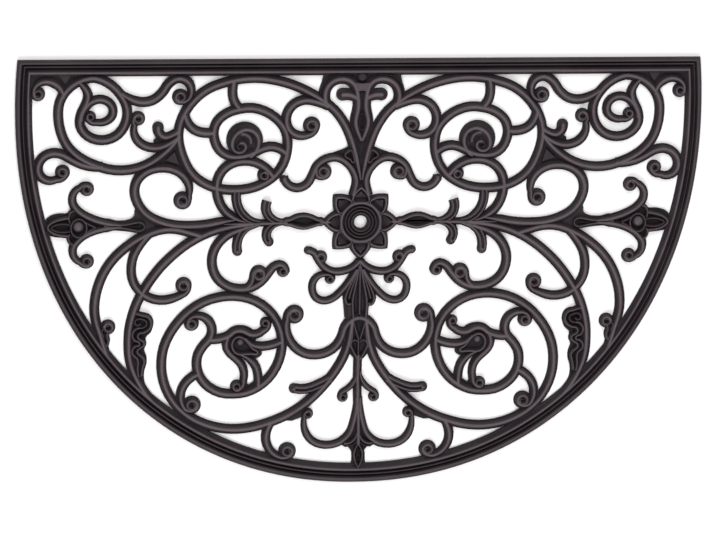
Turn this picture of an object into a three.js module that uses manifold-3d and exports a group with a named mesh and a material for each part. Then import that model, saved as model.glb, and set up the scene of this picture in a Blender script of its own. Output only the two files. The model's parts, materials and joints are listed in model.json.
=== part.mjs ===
// A half-round openwork doormat, moulded in one piece of rubber after wrought-iron scrolls.
// Millimetres, +Z up. The origin is the middle of the mat's bounding box, on the floor.
// +Y points to the straight edge, and the right half mirrors the left half.
import * as THREE from "three";
import { mergeVertices } from "three/addons/utils/BufferGeometryUtils.js";
import Module from "manifold-3d";

const wasm = await Module();
wasm.setup();

// Driving sizes of the mat
const matWidth = 750;
const matDepth = 473;
const matHeight = 8;
const widestFromBottom = 415;
const ovalExponent = 2.1;
const borderWidth = 18.3;
const borderWidthAtBottom = 21.2;
const webHeight = 3.5;

// The border's groove: how far in from the mat's edge its two sides lie, and its floor's height
const grooveOuter = 6.3;
const grooveInner = 12.1;
const grooveFloor = 4.5;

// The flower in the middle: the place of its centre, its hole, its tips and the notches between them
const flowerY = 56.7;
const flowerHole = 7.1;
const flowerTip = 42.3;
const flowerNotch = 31.5;
const petals = 8;
const petalBulge = 1.6;

// How far the straight steps stray from the true curves, and the smallest gap that is left open
const chordError = 0.3;
const thinningError = 0.5;
const outlineSteps = 46;
const discSteps = 18;
const smallestGap = 20;
const beadSteps = 8;

// The stretch over which a strand goes over to the width of its root or its tip, and how its end
// then rolls in beside its eye
const taperLength = 18;
const rollTurns = 0.25;
const rollEnd = 0.7;

// Strands of the left half, by the knots of their middle line and their width. Root and tip are
// the widths at the first and the last knot where they differ. An eye is the centre that the last
// end rolls in to, and the radius of the boss there.
const strands = [
  { name: "corner curl", width: 11, tip: 9, eye: [-350.5, 199.7, 8],
    knots: [[-320.5, 197], [-324.5, 204.5], [-331.5, 210.5], [-341, 213.6], [-350, 211]] },
  { name: "upper outer ring", width: 11,
    knots: [[-290, 217], [-306, 213.3], [-319.5, 203.5], [-327, 190.5], [-328.7, 175], [-326, 158],
      [-320.5, 145], [-311.5, 134.5], [-301, 127], [-289, 121.5], [-275.5, 117], [-260, 115.5],
      [-243, 118], [-228, 124.5], [-215, 134], [-205, 144], [-198, 154]] },
  { name: "upper outer volute", width: 11,
    knots: [[-290, 217], [-275.5, 211.5], [-262.5, 199.5], [-254.7, 183], [-256, 168], [-264, 155.5],
      [-281.5, 148.8], [-297, 153.5], [-305.3, 165], [-303.5, 179], [-298, 190], [-297, 200],
      [-302, 209]] },
  { name: "upper outer curl", width: 10, tip: 8, eye: [-294.5, 174.5, 6.5],
    knots: [[-304.5, 170], [-300.5, 183], [-292, 191.6], [-281, 193.3], [-271.5, 187], [-270.3, 176.5],
      [-277.5, 169.5], [-287, 168.3]] },
  { name: "side scroll", width: 11, tip: 8.5, eye: [-324.3, 114.3, 8],
    knots: [[-281, 119.8], [-303.5, 122.7], [-314, 127.7], [-323, 133], [-333, 135.3], [-343.5, 132],
      [-350.3, 122.5], [-349.3, 111.8], [-341, 105.3], [-331.5, 106.3]] },
  { name: "hanging wave", width: 11, tip: 8, eye: [-197.2, 195.5, 9],
    knots: [[-262.5, 204], [-254, 195.8], [-242, 190.5], [-227.5, 192], [-217, 200], [-209.5, 210.5],
      [-199.5, 216], [-189.5, 212.5], [-185.3, 203.5], [-188, 194]] },
  { name: "upper hook", width: 10.5, tip: 7, eye: [-243, 172.5, 8],
    knots: [[-198, 153], [-208, 145.5], [-219, 140.8], [-231, 140.8], [-241.5, 146.3], [-247, 155.5],
      [-246.7, 165.5]] },
  { name: "upper thumb", width: 10, tip: 8, eye: [-219.8, 163, 6.8],
    knots: [[-199, 158.5], [-207.5, 153.3], [-214.5, 152.5], [-219.5, 155.8]] },
  { name: "upper inner ring", width: 11,
    knots: [[-4, 118], [-6, 131], [-10.5, 147], [-18, 164], [-29, 179.5], [-42, 190.5], [-57, 199.5],
      [-73, 207], [-91, 212.5], [-110, 215.5], [-130, 215], [-148, 211.3], [-166.5, 204.5],
      [-181, 193.5], [-191.5, 180], [-197.5, 166], [-199.3, 152], [-197.3, 139], [-193.3, 127],
      [-187.5, 115.5], [-179, 106], [-169, 99.5], [-157, 95], [-143, 93], [-129, 93.3], [-116, 96],
      [-104, 101.5], [-93, 110], [-85.3, 121], [-81.3, 134], [-80.7, 148]] },
  { name: "upper inner volute", width: 11,
    knots: [[-80.7, 146], [-84.5, 161], [-94.5, 172.5], [-106, 179.5], [-119, 183], [-133, 182],
      [-147.5, 177], [-157.5, 168], [-161, 156.5], [-159.5, 146.5], [-154.5, 137], [-145.5, 131],
      [-134, 129.7], [-122, 132], [-110.5, 137.5], [-100, 140.5], [-90.5, 138.8], [-82, 133]] },
  { name: "upper link", width: 10.8,
    knots: [[-139.3, 213], [-140.8, 202.5], [-139.8, 193], [-133.5, 183]] },
  { name: "side link", width: 11,
    knots: [[-192.5, 176.5], [-190, 168.5], [-182.5, 159.8], [-172, 156.2], [-160, 156.7]] },
  { name: "loop under the ring", width: 11,
    knots: [[-126, 58], [-138.5, 62.5], [-148, 69.5], [-154.5, 80], [-157.3, 92], [-156.7, 104],
      [-151.3, 114.5], [-141.5, 122], [-128.5, 125], [-115.5, 123.3], [-104.5, 117], [-96.5, 108]] },
  { name: "inner scroll", width: 11, tip: 9, eye: [-54.5, 163.5, 9.5],
    knots: [[-36, 184.5], [-49, 189.5], [-62, 191.5], [-73.5, 187.3], [-81, 177.5], [-82, 166],
      [-77.3, 156.8], [-68, 152.3], [-58, 153.3]] },
  { name: "wavy hook", width: 10,
    knots: [[-4.5, 106], [-12.5, 120], [-25.5, 127.8], [-38.5, 126.3], [-48.3, 119], [-53.3, 108.5],
      [-59, 99], [-69.5, 94.6], [-79.5, 98.3], [-84.5, 107]] },
  { name: "wavy hook curl", width: 8, eye: [-41.3, 112.3, 9.3],
    knots: [[-44, 123.5], [-49.3, 116], [-47.5, 107.7]] },
  { name: "top loop", width: 12,
    knots: [[-38.5, 187], [-40, 201], [-34, 211], [-22, 215.2], [-11.5, 211], [-6.8, 201], [-5.3, 188],
      [-5.9, 177], [-6.5, 167], [-5.3, 156], [-3.5, 144]] },
  { name: "top leaf", width: 14, root: 11, knots: [[-4, 192.5], [-12.5, 196.8], [-21, 197.3]] },
  { name: "middle scroll", width: 11, tip: 7, eye: [-194.5, 82, 10],
    knots: [[-136, 61], [-150, 58.5], [-168, 55], [-187, 53.7], [-205, 55], [-221, 59.5], [-235, 68],
      [-243.5, 80], [-246.7, 92.5], [-243.5, 105], [-232.5, 114.8], [-216.5, 118.3], [-202, 115.3],
      [-191.5, 107], [-187, 94.5], [-187.7, 87.5]] },
  { name: "finial's upper curl", width: 9.5, tip: 7.5, eye: [-298.2, 95.7, 8],
    knots: [[-250, 55.8], [-265, 56.3], [-281, 58.8], [-295.5, 63.8], [-307, 71], [-313.5, 80.5],
      [-312.8, 90], [-305.5, 97]] },
  { name: "finial's lower curl", width: 9.5, tip: 7.5, eye: [-298.4, 15.8, 8],
    knots: [[-250, 54.4], [-265, 54.2], [-281, 52.2], [-295.5, 47.5], [-307, 40], [-313.4, 30.5],
      [-312.2, 21], [-305, 14.6]] },
  { name: "level stem, outer part", width: 11, knots: [[-312, 54.8], [-280, 55.5], [-236, 54]] },
  { name: "level stem, inner part", width: 8, knots: [[-150, 56], [-100, 56.3], [-34, 57]] },
  { name: "upper leaf by the ring", width: 10, root: 6,
    knots: [[-110, 57.3], [-122.5, 60.3], [-130.5, 67.5], [-135, 77], [-135.7, 92]] },
  { name: "lower leaf by the ring", width: 10, root: 6,
    knots: [[-110, 55.6], [-122, 52.7], [-130.5, 46], [-134.5, 36.5], [-134.7, 24.5]] },
  { name: "upper leaf on the stem", width: 9.5, root: 6,
    knots: [[-84, 57.5], [-94, 59], [-101, 64.5], [-103.8, 72], [-102.3, 80.5]] },
  { name: "lower leaf on the stem", width: 9.5, root: 6,
    knots: [[-84, 56], [-94, 54.8], [-101, 49.5], [-103, 42], [-100.3, 35.5]] },
  { name: "outer branch", width: 11,
    knots: [[-174, 42.5], [-188, 47], [-201, 50.3], [-214, 50.6], [-228, 47], [-242, 40.3],
      [-254.5, 31.8], [-266.5, 21.3], [-277.5, 7], [-285.2, -9.5], [-289.5, -27], [-290, -43],
      [-286.5, -57], [-280, -70]] },
  { name: "branch with a curl", width: 10.5, tip: 8, eye: [-193, -12, 9],
    knots: [[-231, 45.5], [-240.5, 34], [-247.5, 21.5], [-250, 9], [-249.3, -3], [-244.8, -13.5],
      [-236.5, -22], [-225.5, -27.3], [-213, -28.3], [-201.5, -25.3], [-192, -21]] },
  { name: "inner branch", width: 11,
    knots: [[-118, 55.5], [-134, 54], [-150, 51], [-165, 46.5], [-180, 39.5], [-194, 30.5],
      [-207, 19.7], [-218.3, 8.3], [-228, -4], [-236.5, -17], [-243.8, -31], [-249, -46],
      [-252.2, -61], [-253, -76], [-252.3, -91], [-248.5, -106], [-241.5, -119.5], [-232, -131]] },
  { name: "lower scroll", width: 11, root: 6, tip: 9.5, eye: [-84.3, 2.7, 7],
    knots: [[-112, 54.8], [-131, 49.5], [-145.5, 43.5], [-156.3, 33], [-161.8, 20], [-161.3, 6],
      [-155.3, -6], [-144.5, -14], [-131.5, -17], [-118.5, -15], [-108.5, -8.8], [-101, 0],
      [-95, 7.3], [-88.5, 10.2]] },
  { name: "lower scroll's bud", width: 9, tip: 8, eye: [-110.8, -0.3, 9.8],
    knots: [[-128, -17], [-119.5, -11], [-117.3, -3]] },
  { name: "lower ring, outer part", width: 11,
    knots: [[-7.5, -52], [-9.3, -66], [-11.7, -80], [-17, -95], [-25.5, -110], [-36.5, -124.5],
      [-49.5, -138.5], [-64, -150.5], [-81, -160.5], [-100, -168], [-120, -173], [-140, -174.3],
      [-159, -171.5], [-176.5, -165], [-192, -155], [-204.5, -141.5], [-212.5, -126.5],
      [-216.5, -111], [-217, -96], [-214.5, -81], [-208, -66], [-198.5, -52.5], [-187, -41],
      [-172, -31.5], [-155, -26]] },
  { name: "lower ring, inner part", width: 11, tip: 8, eye: [-184.4, -54.8, 8.3],
    knots: [[-157, -26.5], [-138, -24.8], [-121.5, -27.7], [-107, -35], [-95.5, -46], [-88, -59.5],
      [-84.8, -74], [-85.8, -90], [-91, -105], [-99.5, -117.5], [-111, -127], [-124.5, -133],
      [-138.5, -134.5], [-152.5, -133], [-165, -126.5], [-174.5, -115.5], [-178.5, -102],
      [-176.8, -89], [-170.5, -79], [-164, -71.5], [-161.8, -62], [-165.3, -52.5], [-173.5, -46.8],
      [-183, -46.7]] },
  { name: "ring's lower curl", width: 10.5, tip: 9, eye: [-183.5, -146.2, 10],
    knots: [[-176.5, -111], [-187.3, -117.7], [-194.5, -128], [-195.8, -140], [-191, -150.5]] },
  { name: "knot's upper arm", width: 11, tip: 9.5, eye: [-103, -55, 6.3],
    knots: [[-162, -73.5], [-152, -71.5], [-142, -66.7], [-131, -62.5], [-120.5, -65.3],
      [-111, -66.5], [-103, -62.5]] },
  { name: "knot's level arm", width: 11,
    knots: [[-130, -71], [-121.5, -75.8], [-111.5, -79], [-100, -79.3], [-86, -75.5]] },
  { name: "knot's beak", width: 10, knots: [[-124, -83], [-108.5, -89.5]] },
  { name: "knot's left leg", width: 9.8, tip: 9, eye: [-134.3, -126, 7.3],
    knots: [[-139, -89], [-130.5, -96.5], [-125.6, -107.5], [-126.6, -120]] },
  { name: "knot's right leg", width: 10.3,
    knots: [[-124, -91], [-115.5, -99.5], [-111, -111], [-110.5, -127]] },
  { name: "cup scroll", width: 11, tip: 9.5, eye: [-71.5, -46, 10.6],
    knots: [[0, -50], [-8.5, -53], [-15.3, -60.5], [-19, -72], [-25, -82], [-35, -89], [-48, -91.8],
      [-61, -89.5], [-71, -82.5], [-78, -72], [-80.8, -60], [-79.5, -50.5]] },
  { name: "upper spray", width: 9,
    knots: [[0, 13.5], [-8.5, 5.5], [-19.5, 1.5], [-31, 1.8], [-40.5, 7.5], [-46.5, 16], [-51, 23],
      [-58, 25.3]] },
  { name: "lower spray", width: 8.7, tip: 6.5, eye: [-32.6, -6.8, 5.8],
    knots: [[-3.5, 4], [-12, -10.5], [-21.5, -22], [-31, -29.3], [-40, -31.2], [-48, -27.5],
      [-52, -19], [-51, -9.5], [-45, -3], [-36.5, -1.3]] },
  { name: "curl on the border", width: 10.5, tip: 9, eye: [-78, -200.3, 9.8],
    knots: [[-96.5, -167], [-101, -177], [-101.8, -188], [-97.8, -198], [-89, -205.5]] },
  { name: "leaf on the ring", width: 10.2,
    knots: [[-31, -118.5], [-45, -126], [-58, -130.3], [-71, -129.5]] },
  { name: "foot scroll", width: 9, root: 6, tip: 5.5, eye: [-55.8, -158, 6.3],
    knots: [[-1.8, -140], [-4.7, -168], [-10, -182], [-19, -190.3], [-30, -194], [-41, -193.5],
      [-50.3, -189.3], [-56.5, -182], [-59.7, -172.5], [-59.7, -162.5]] },
  { name: "stem bud", width: 7.6, tip: 6.5, eye: [-17.2, -139.7, 6],
    knots: [[-1, -110], [-3.7, -120.5], [-9, -128], [-15.8, -132.8]] },
];

// Round bosses of the left half: the eye of the fat coil, the finial's button and rounded ends
const bosses = [
  { name: "eye of the loop under the ring", x: -106, y: 109.3, radius: 7.4 },
  { name: "top leaf end", x: -21.2, y: 197.3, radius: 7 },
  { name: "fat coil", x: -127.3, y: 148, radius: 20 },
  { name: "finial button", x: -307.5, y: 54.8, radius: 9.8 },
  { name: "knot head", x: -131.3, y: -79.3, radius: 18.3 },
  { name: "knot beak", x: -111, y: -89.3, radius: 4.6 },
  { name: "wavy hook end", x: -84.2, y: 104, radius: 4.8 },
  { name: "lower leaf end by the ring", x: -134.5, y: 25.3, radius: 5 },
  { name: "lower leaf end on the stem", x: -100, y: 35.3, radius: 4.6 },
  { name: "upper spray bud", x: -43.7, y: 17.3, radius: 7 },
  { name: "upper spray end", x: -57.3, y: 25.3, radius: 4.4 },
  { name: "leaf end on the ring", x: -71.3, y: -129.3, radius: 5 },
  { name: "curl on the outer branch", x: -275.5, y: -57.5, radius: 8.3 },
  { name: "foot", x: -9.5, y: -192.5, radius: 6 },
];

// Leaves of the left half, as rounded outlines
const leaves = [
  { name: "finial leaf",
    knots: [[-345, 54.5], [-341, 64], [-329, 68.8], [-318, 69.5], [-313, 78], [-309, 55], [-313, 31],
      [-319, 41.5], [-329, 42.3], [-340, 45.5]] },
  { name: "ribbed leaf",
    knots: [[-246, -39], [-239, -43.3], [-231.5, -46], [-226.5, -54], [-228.7, -64], [-234, -69.5],
      [-234, -77.5], [-236, -83.5], [-233.5, -90], [-233.2, -99], [-236, -108], [-235.5, -119],
      [-232.5, -128], [-230, -136], [-240, -126], [-248.5, -106], [-250.5, -80], [-248.5, -55]] },
  { name: "tail of the outer branch",
    knots: [[-284, -62], [-276, -66], [-272.8, -72], [-273.5, -80], [-281, -84], [-286, -72]] },
];

// Straight-sided fillings of the left half, between strands that lie side by side
const fillings = [
  { name: "leaf cell", knots: [[-5, 146], [-12, 141], [-21, 136.7], [-31, 133.3], [-20, 122], [-5, 114]] },
  { name: "twin stems", knots: [[3, 203], [-6, 198], [-5, 150], [-8, 108], [-7.6, 90], [3, 88]] },
  { name: "fan of ribs",
    knots: [[3, 16], [-6, 4], [-14, -12], [-18.6, -22], [-17.2, -31], [-14.5, -36.6], [-9, -38],
      [-8.6, -47], [-10.5, -52], [3, -52]] },
  { name: "lattice",
    knots: [[3, -48], [-12, -52], [-17, -64], [-17.5, -84], [-11, -90], [-5, -97], [3, -98]] },
];

// The block beside the fan, which only the left half has
const leftBlock = [[-17.9, -33], [-17, -42], [-16.6, -48], [-14, -52], [-7, -52], [-7, -33]];

// Thinner flat webs between the strands of the left half, from the floor up to the web height
const webs = [
  { name: "finial fan",
    knots: [[-315, 55], [-306, 73], [-292, 62], [-276, 55], [-292, 48.5], [-306, 37]] },
  { name: "corner web", knots: [[-337, 220], [-322, 201], [-309, 220]] },
  { name: "web of three rings",
    knots: [[-202, 142], [-224, 121], [-207, 114], [-191, 112], [-194, 130]] },
  { name: "corner pocket", knots: [[-359, 221], [-330, 221], [-340, 214], [-352, 205]] },
  { name: "branch root", knots: [[-239, 59], [-221, 54.5], [-239, 48]] },
  { name: "fin on the ring",
    knots: [[-83, -165.5], [-73, -166], [-62, -162], [-60, -156], [-68, -151]] },
  { name: "corner of the top loop",
    knots: [[-47.5, 197], [-41.5, 221], [-12, 221], [-22, 212], [-36, 204], [-40, 195]] },
  { name: "top pocket", knots: [[4, 220], [-17, 220], [-9, 203], [4, 196]] },
  { name: "ring between the legs",
    knots: [[-137, -132], [-129, -118], [-121, -124.5], [-112, -118], [-108, -130]] },
];

// The points of a straight-sided outline
function corners(knots) {
  return knots.map(([x, y]) => new THREE.Vector2(x, y));
}

// A point a fraction t along the arc from p to q that leaves the chord at the angle bend
function arcPoint(p, q, bend, t) {
  const chord = q.clone().sub(p);
  const reach = Math.abs(bend) < 1e-4 ? t : Math.sin(bend * t) / Math.sin(bend);
  return chord.rotateAround(new THREE.Vector2(), -bend * (1 - t)).multiplyScalar(reach).add(p);
}

// The angle at which the chord from p to q is seen from a third knot, which is half the arc's turn
function seenFrom(knot, p, q) {
  const a = p.clone().sub(knot);
  const b = q.clone().sub(knot);
  return Math.atan2(a.cross(b), a.dot(b));
}

// Smooth points through the knots: between two knots the bend goes over from the circle through
// the knot before to the circle through the knot after
function smooth(knots, closed = false) {
  const points = corners(knots);
  const count = points.length;
  const result = [];
  for (let i = 0; i < (closed ? count : count - 1); i += 1) {
    const p = points[i];
    const q = points[(i + 1) % count];
    const before = closed ? points[(i - 1 + count) % count] : points[i - 1];
    const after = closed ? points[(i + 2) % count] : points[i + 2];
    let bendIn = before ? seenFrom(before, p, q) : null;
    let bendOut = after ? seenFrom(after, p, q) : null;
    bendIn ??= bendOut ?? 0;
    bendOut ??= bendIn;
    const bend = Math.max(Math.abs(bendIn), Math.abs(bendOut));
    const sagitta = (p.distanceTo(q) * Math.tan(bend / 2)) / 2;
    const steps = Math.max(1, Math.ceil(Math.sqrt(sagitta / chordError)));
    for (let step = 0; step < steps; step += 1) {
      const t = step / steps;
      result.push(arcPoint(p, q, THREE.MathUtils.lerp(bendIn, bendOut, t), t));
    }
  }
  if (!closed) {
    result.push(points[count - 1]);
  }
  return result;
}

// The points of a strand's rolled end, which runs from the body's last point into the eye's boss
function roll(path, [eyeX, eyeY, bossRadius], endWidth) {
  const eye = new THREE.Vector2(eyeX, eyeY);
  const arm = path.at(-1).clone().sub(eye);
  const heading = path.at(-1).clone().sub(path.at(-2));
  const hand = Math.sign(arm.cross(heading));
  const steps = Math.ceil(rollTurns * discSteps);
  return Array.from({ length: steps + 1 }, (_, step) => {
    const t = step / steps;
    const radius = THREE.MathUtils.lerp(arm.length(), bossRadius - endWidth / 2, t);
    const angle = arm.angle() + hand * t * rollTurns * 2 * Math.PI;
    return new THREE.Vector2(Math.cos(angle), Math.sin(angle)).multiplyScalar(radius).add(eye);
  });
}

// The outline of a strip along a path, as wide at each point as its row of widths says
function strip(path, widths) {
  const left = [];
  const right = [];
  path.forEach((point, i) => {
    const back = path[Math.max(i - 1, 0)];
    const front = path[Math.min(i + 1, path.length - 1)];
    const side = front.clone().sub(back).normalize().multiplyScalar(widths[i] / 2);
    left.push(new THREE.Vector2(point.x - side.y, point.y + side.x));
    right.push(new THREE.Vector2(point.x + side.y, point.y - side.x));
  });
  return [...left, ...right.reverse()];
}

// The widths of a strand's body, from its root's width over its full one to its tip's
function bodyWidths(path, root, width, tip) {
  const run = [0];
  for (let i = 1; i < path.length; i += 1) {
    run.push(run[i - 1] + path[i].distanceTo(path[i - 1]));
  }
  const share = (length) => Math.min(1, length / taperLength);
  return run.map((length) => (
    width - (width - root) * (1 - share(length)) - (width - tip) * (1 - share(run.at(-1) - length))
  ));
}

// The points of a circle
function circle(x, y, radius, steps = discSteps) {
  return Array.from({ length: steps }, (_, i) => {
    const angle = (i / steps) * 2 * Math.PI;
    return new THREE.Vector2(x + radius * Math.cos(angle), y + radius * Math.sin(angle));
  });
}

// A solid of this module's boolean library from a closed geometry
function toSolid(geometry) {
  geometry.deleteAttribute("normal");
  geometry.deleteAttribute("uv");
  const merged = mergeVertices(geometry, 1e-4);
  return new wasm.Manifold(new wasm.Mesh({
    numProp: 3,
    vertProperties: new Float32Array(merged.attributes.position.array),
    triVerts: new Uint32Array(merged.index.array),
  }));
}

// The closed outlines of a solid's underside, with the points that the shape doesn't need left out
function undersideLoops(solid) {
  const { vertProperties, triVerts } = solid.getMesh();
  const next = new Map();
  for (let i = 0; i < triVerts.length; i += 3) {
    const corners = [...triVerts.slice(i, i + 3)];
    if (corners.every((vertex) => vertProperties[3 * vertex + 2] === 0)) {
      corners.forEach((vertex, k) => next.set(`${vertex} ${corners[(k + 1) % 3]}`, vertex));
    }
  }
  const following = new Map();
  for (const edge of next.keys()) {
    const [from, to] = edge.split(" ");
    if (!next.has(`${to} ${from}`)) {
      following.set(from, to);
    }
  }
  const loops = [];
  while (following.size) {
    const loop = [];
    let vertex = following.keys().next().value;
    while (following.has(vertex)) {
      loop.push(new THREE.Vector2(vertProperties[3 * vertex], vertProperties[3 * vertex + 1]));
      const to = following.get(vertex);
      following.delete(vertex);
      vertex = to;
    }
    loops.push(thinned(loop));
  }
  return loops;
}

// A closed outline without the points that lie close to the line between their kept neighbours
function thinned(loop) {
  const kept = [loop[0]];
  let start = 0;
  for (let end = 2; end <= loop.length; end += 1) {
    const line = loop[end % loop.length].clone().sub(loop[start]).normalize();
    const skipped = loop.slice(start + 1, end);
    if (skipped.some((point) => Math.abs(line.cross(point.clone().sub(loop[start]))) > thinningError)) {
      start = end - 1;
      kept.push(loop[start]);
    }
  }
  return kept;
}

// A flat plate of an outline with holes, from one height to another
function plate(outline, holes = [], from = 0, to = matHeight) {
  const shape = new THREE.Shape(outline);
  shape.holes = holes.map((hole) => new THREE.Path(hole));
  const geometry = new THREE.ExtrudeGeometry(shape, { depth: to - from, bevelEnabled: false });
  geometry.translate(0, 0, from);
  return toSolid(geometry);
}

// The same outline on the other half of the mat
function mirrored(outline) {
  return outline.map((point) => new THREE.Vector2(-point.x, point.y)).reverse();
}

// The mat's half-oval outline, moved in by a distance that may be another one at its lowest point:
// a flattened oval cut off at the straight edge
function halfOval(inset, insetAtBottom = inset) {
  const halfWidth = matWidth / 2 - inset;
  const reach = widestFromBottom - insetAtBottom;
  const middle = widestFromBottom - matDepth / 2;
  const straight = matDepth / 2 - inset;
  const power = 2 / ovalExponent;
  const start = Math.asin(((straight - middle) / reach) ** (1 / power));
  return Array.from({ length: outlineSteps + 1 }, (_, i) => {
    const angle = Math.PI - start + (i / outlineSteps) * (Math.PI + 2 * start);
    const across = Math.cos(angle);
    const along = Math.sin(angle);
    return new THREE.Vector2(
      halfWidth * Math.sign(across) * Math.abs(across) ** power,
      middle + reach * Math.sign(along) * Math.abs(along) ** power,
    );
  });
}

// The border all round, and the groove that runs along it
function border() {
  return plate(halfOval(0), [halfOval(borderWidth, borderWidthAtBottom)]);
}

function groove() {
  return plate(halfOval(grooveOuter), [halfOval(grooveInner)], grooveFloor, matHeight + 1);
}

// The outlines of one strand of the left half: its body and, where it has an eye, its rolled end
// and the boss of the eye
function strandOutlines({ root, width, tip = width, knots, eye }) {
  const path = smooth(knots);
  const body = strip(path, bodyWidths(path, root ?? width, width, tip));
  if (!eye) {
    return [body];
  }
  const end = [path.at(-2), ...roll(path, eye, tip * rollEnd)];
  const share = (i) => Math.max(0, i - 1) / (end.length - 2);
  const rolled = strip(end, end.map((_, i) => tip * THREE.MathUtils.lerp(1, rollEnd, share(i))));
  return [body, rolled, circle(...eye)];
}

// The flower: pointed petals with slightly bulging sides, round a hole
function flower() {
  const outline = [];
  for (let petal = 0; petal < petals; petal += 1) {
    const tip = (petal / petals) * 2 * Math.PI;
    const half = Math.PI / petals;
    for (const [turn, radius] of [[-half, flowerNotch], [-half / 2, 0], [0, flowerTip], [half / 2, 0]]) {
      const side = (flowerNotch + flowerTip) / 2 + petalBulge;
      const reach = radius || side;
      outline.push(new THREE.Vector2(reach * Math.cos(tip + turn), flowerY + reach * Math.sin(tip + turn)));
    }
  }
  return plate(outline, [circle(0, flowerY, flowerHole)]);
}

// A bead along a straight stem from one end point to the other, narrow at its ends
function bead(from, to, endWidth, middleWidth) {
  const path = Array.from({ length: beadSteps + 1 }, (_, i) => (
    new THREE.Vector2(...from).lerp(new THREE.Vector2(...to), i / beadSteps)));
  const swell = (i) => Math.sin((i / beadSteps) * Math.PI) ** 2;
  return strip(path, path.map((_, i) => THREE.MathUtils.lerp(endWidth, middleWidth, swell(i))));
}

// The full height of the mat: everything but its webs, united and then made again as one plate
function fullHeightPlate() {
  const outlines = [
    ...strands.flatMap(strandOutlines),
    ...bosses.map(({ x, y, radius }) => circle(x, y, radius)),
    ...leaves.map(({ knots }) => smooth(knots, true)),
    ...fillings.map(({ knots }) => corners(knots)),
    bead([-85, 57.2], [-41, 57], 7.5, 18),
  ];
  const stem = smooth([[0, -88], [0, -222]]);
  const pieces = [
    ...outlines,
    ...outlines.map(mirrored),
    corners(leftBlock),
    strip(stem, stem.map(() => 9.5)),
    bead([0.5, -194], [0.5, -222], 9, 14),
  ].map((outline) => plate(outline));
  const united = pieces.reduce((solid, piece) => solid.add(piece), border().add(flower()));
  const area = (loop) => Math.abs(THREE.ShapeUtils.area(loop));
  const [outer, ...holes] = undersideLoops(united).sort((a, b) => area(b) - area(a));
  return holes.filter((hole) => area(hole) > smallestGap)
    .reduce((solid, hole) => solid.subtract(plate(hole, [], -1, matHeight + 1)), plate(outer));
}

function mat() {
  let solid = fullHeightPlate();
  for (const { knots } of webs) {
    const outline = corners(knots);
    solid = solid.add(plate(outline, [], 0, webHeight));
    solid = solid.add(plate(mirrored(outline), [], 0, webHeight));
  }
  return solid.subtract(groove());
}

function toGeometry(solid) {
  const mesh = solid.getMesh();
  const geometry = new THREE.BufferGeometry();
  geometry.setAttribute("position", new THREE.BufferAttribute(new Float32Array(mesh.vertProperties), 3));
  geometry.setIndex(new THREE.BufferAttribute(new Uint32Array(mesh.triVerts), 1));
  geometry.computeVertexNormals();
  return geometry;
}

const rubber = new THREE.MeshStandardMaterial({ color: "#3a3536", roughness: 0.55, metalness: 0 });
const group = new THREE.Group();
const doormat = new THREE.Mesh(toGeometry(mat()), rubber);
doormat.name = "openwork_mat";
group.add(doormat);

export default group;
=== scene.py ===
import json
import math
from collections import namedtuple

import bmesh
import bpy
import numpy as np
from bpy.props import FloatProperty, FloatVectorProperty, PointerProperty
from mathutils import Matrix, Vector

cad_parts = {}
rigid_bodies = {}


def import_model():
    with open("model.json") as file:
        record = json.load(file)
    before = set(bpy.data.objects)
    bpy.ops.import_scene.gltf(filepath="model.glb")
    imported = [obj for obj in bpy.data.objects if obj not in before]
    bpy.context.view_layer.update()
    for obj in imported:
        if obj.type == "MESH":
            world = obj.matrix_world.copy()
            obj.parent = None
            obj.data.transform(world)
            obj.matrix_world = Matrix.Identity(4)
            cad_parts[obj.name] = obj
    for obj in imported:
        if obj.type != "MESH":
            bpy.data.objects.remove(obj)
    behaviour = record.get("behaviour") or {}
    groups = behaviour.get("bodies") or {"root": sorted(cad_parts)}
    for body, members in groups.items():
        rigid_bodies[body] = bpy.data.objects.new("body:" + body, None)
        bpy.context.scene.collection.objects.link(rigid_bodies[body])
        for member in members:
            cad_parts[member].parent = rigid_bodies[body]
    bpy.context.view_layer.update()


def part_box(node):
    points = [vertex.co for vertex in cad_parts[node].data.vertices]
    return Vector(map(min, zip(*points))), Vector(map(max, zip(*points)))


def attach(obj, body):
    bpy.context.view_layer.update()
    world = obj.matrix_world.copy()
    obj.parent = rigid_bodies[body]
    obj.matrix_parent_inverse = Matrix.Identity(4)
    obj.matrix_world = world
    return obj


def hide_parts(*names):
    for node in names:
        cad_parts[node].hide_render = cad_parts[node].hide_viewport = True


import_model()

# A half-round openwork doormat, moulded in one piece of rubber after wrought-iron scrolls.
# Tables and path work are in millimetres, Blender's meshes in metres, both in the CAD's frame:
# +Y points to the straight edge, the right half mirrors the left half, and z = 0 is the floor.

bl_info = {
    "name": "Openwork doormat",
    "version": (1, 0, 0),
    "blender": (4, 5, 0),
    "location": "View3D > Sidebar > Doormat",
    "description": "Builds a half-round scrollwork doormat of moulded rubber",
    "category": "Add Mesh",
}

MM = 0.001
CAD_LOW, CAD_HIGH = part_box("openwork_mat")

# The left half as it is laid out, and its mirror image
BOTH_SIDES = (1, -1)

# How far the straight steps stray from the true curves, the longest step, and the bend in radians
# under which an arc is taken as straight
CHORD_ERROR = 0.17
LONGEST_STEP = 9.0
STRAIGHT_BEND = 1e-4

# The flattened oval of the outline: its exponent, its widest place above the lowest point, and
# its steps from one corner round to the other
OVAL_EXPONENT = 2.1
WIDEST_FROM_BOTTOM = 415
OUTLINE_STEPS = 150

# The stretch over which a strand goes over to the width of its root or its tip
TAPER_LENGTH = 18

# How a strand's end rolls in: the turns up to the eye's crest and the turns of the tail along it,
# in so many steps, and how far the tail closes in, as a share of its distance from the eye. The
# width at its end is a share of the tip's, and at most so many times the crest's distance.
ROLL_TURNS = 0.25
TAIL_TURNS = 0.12
ROLL_STEPS = 7
TAIL_CLOSING = 0.03
ROLL_END = 0.9
ROLL_END_LIMIT = 1.9

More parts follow.
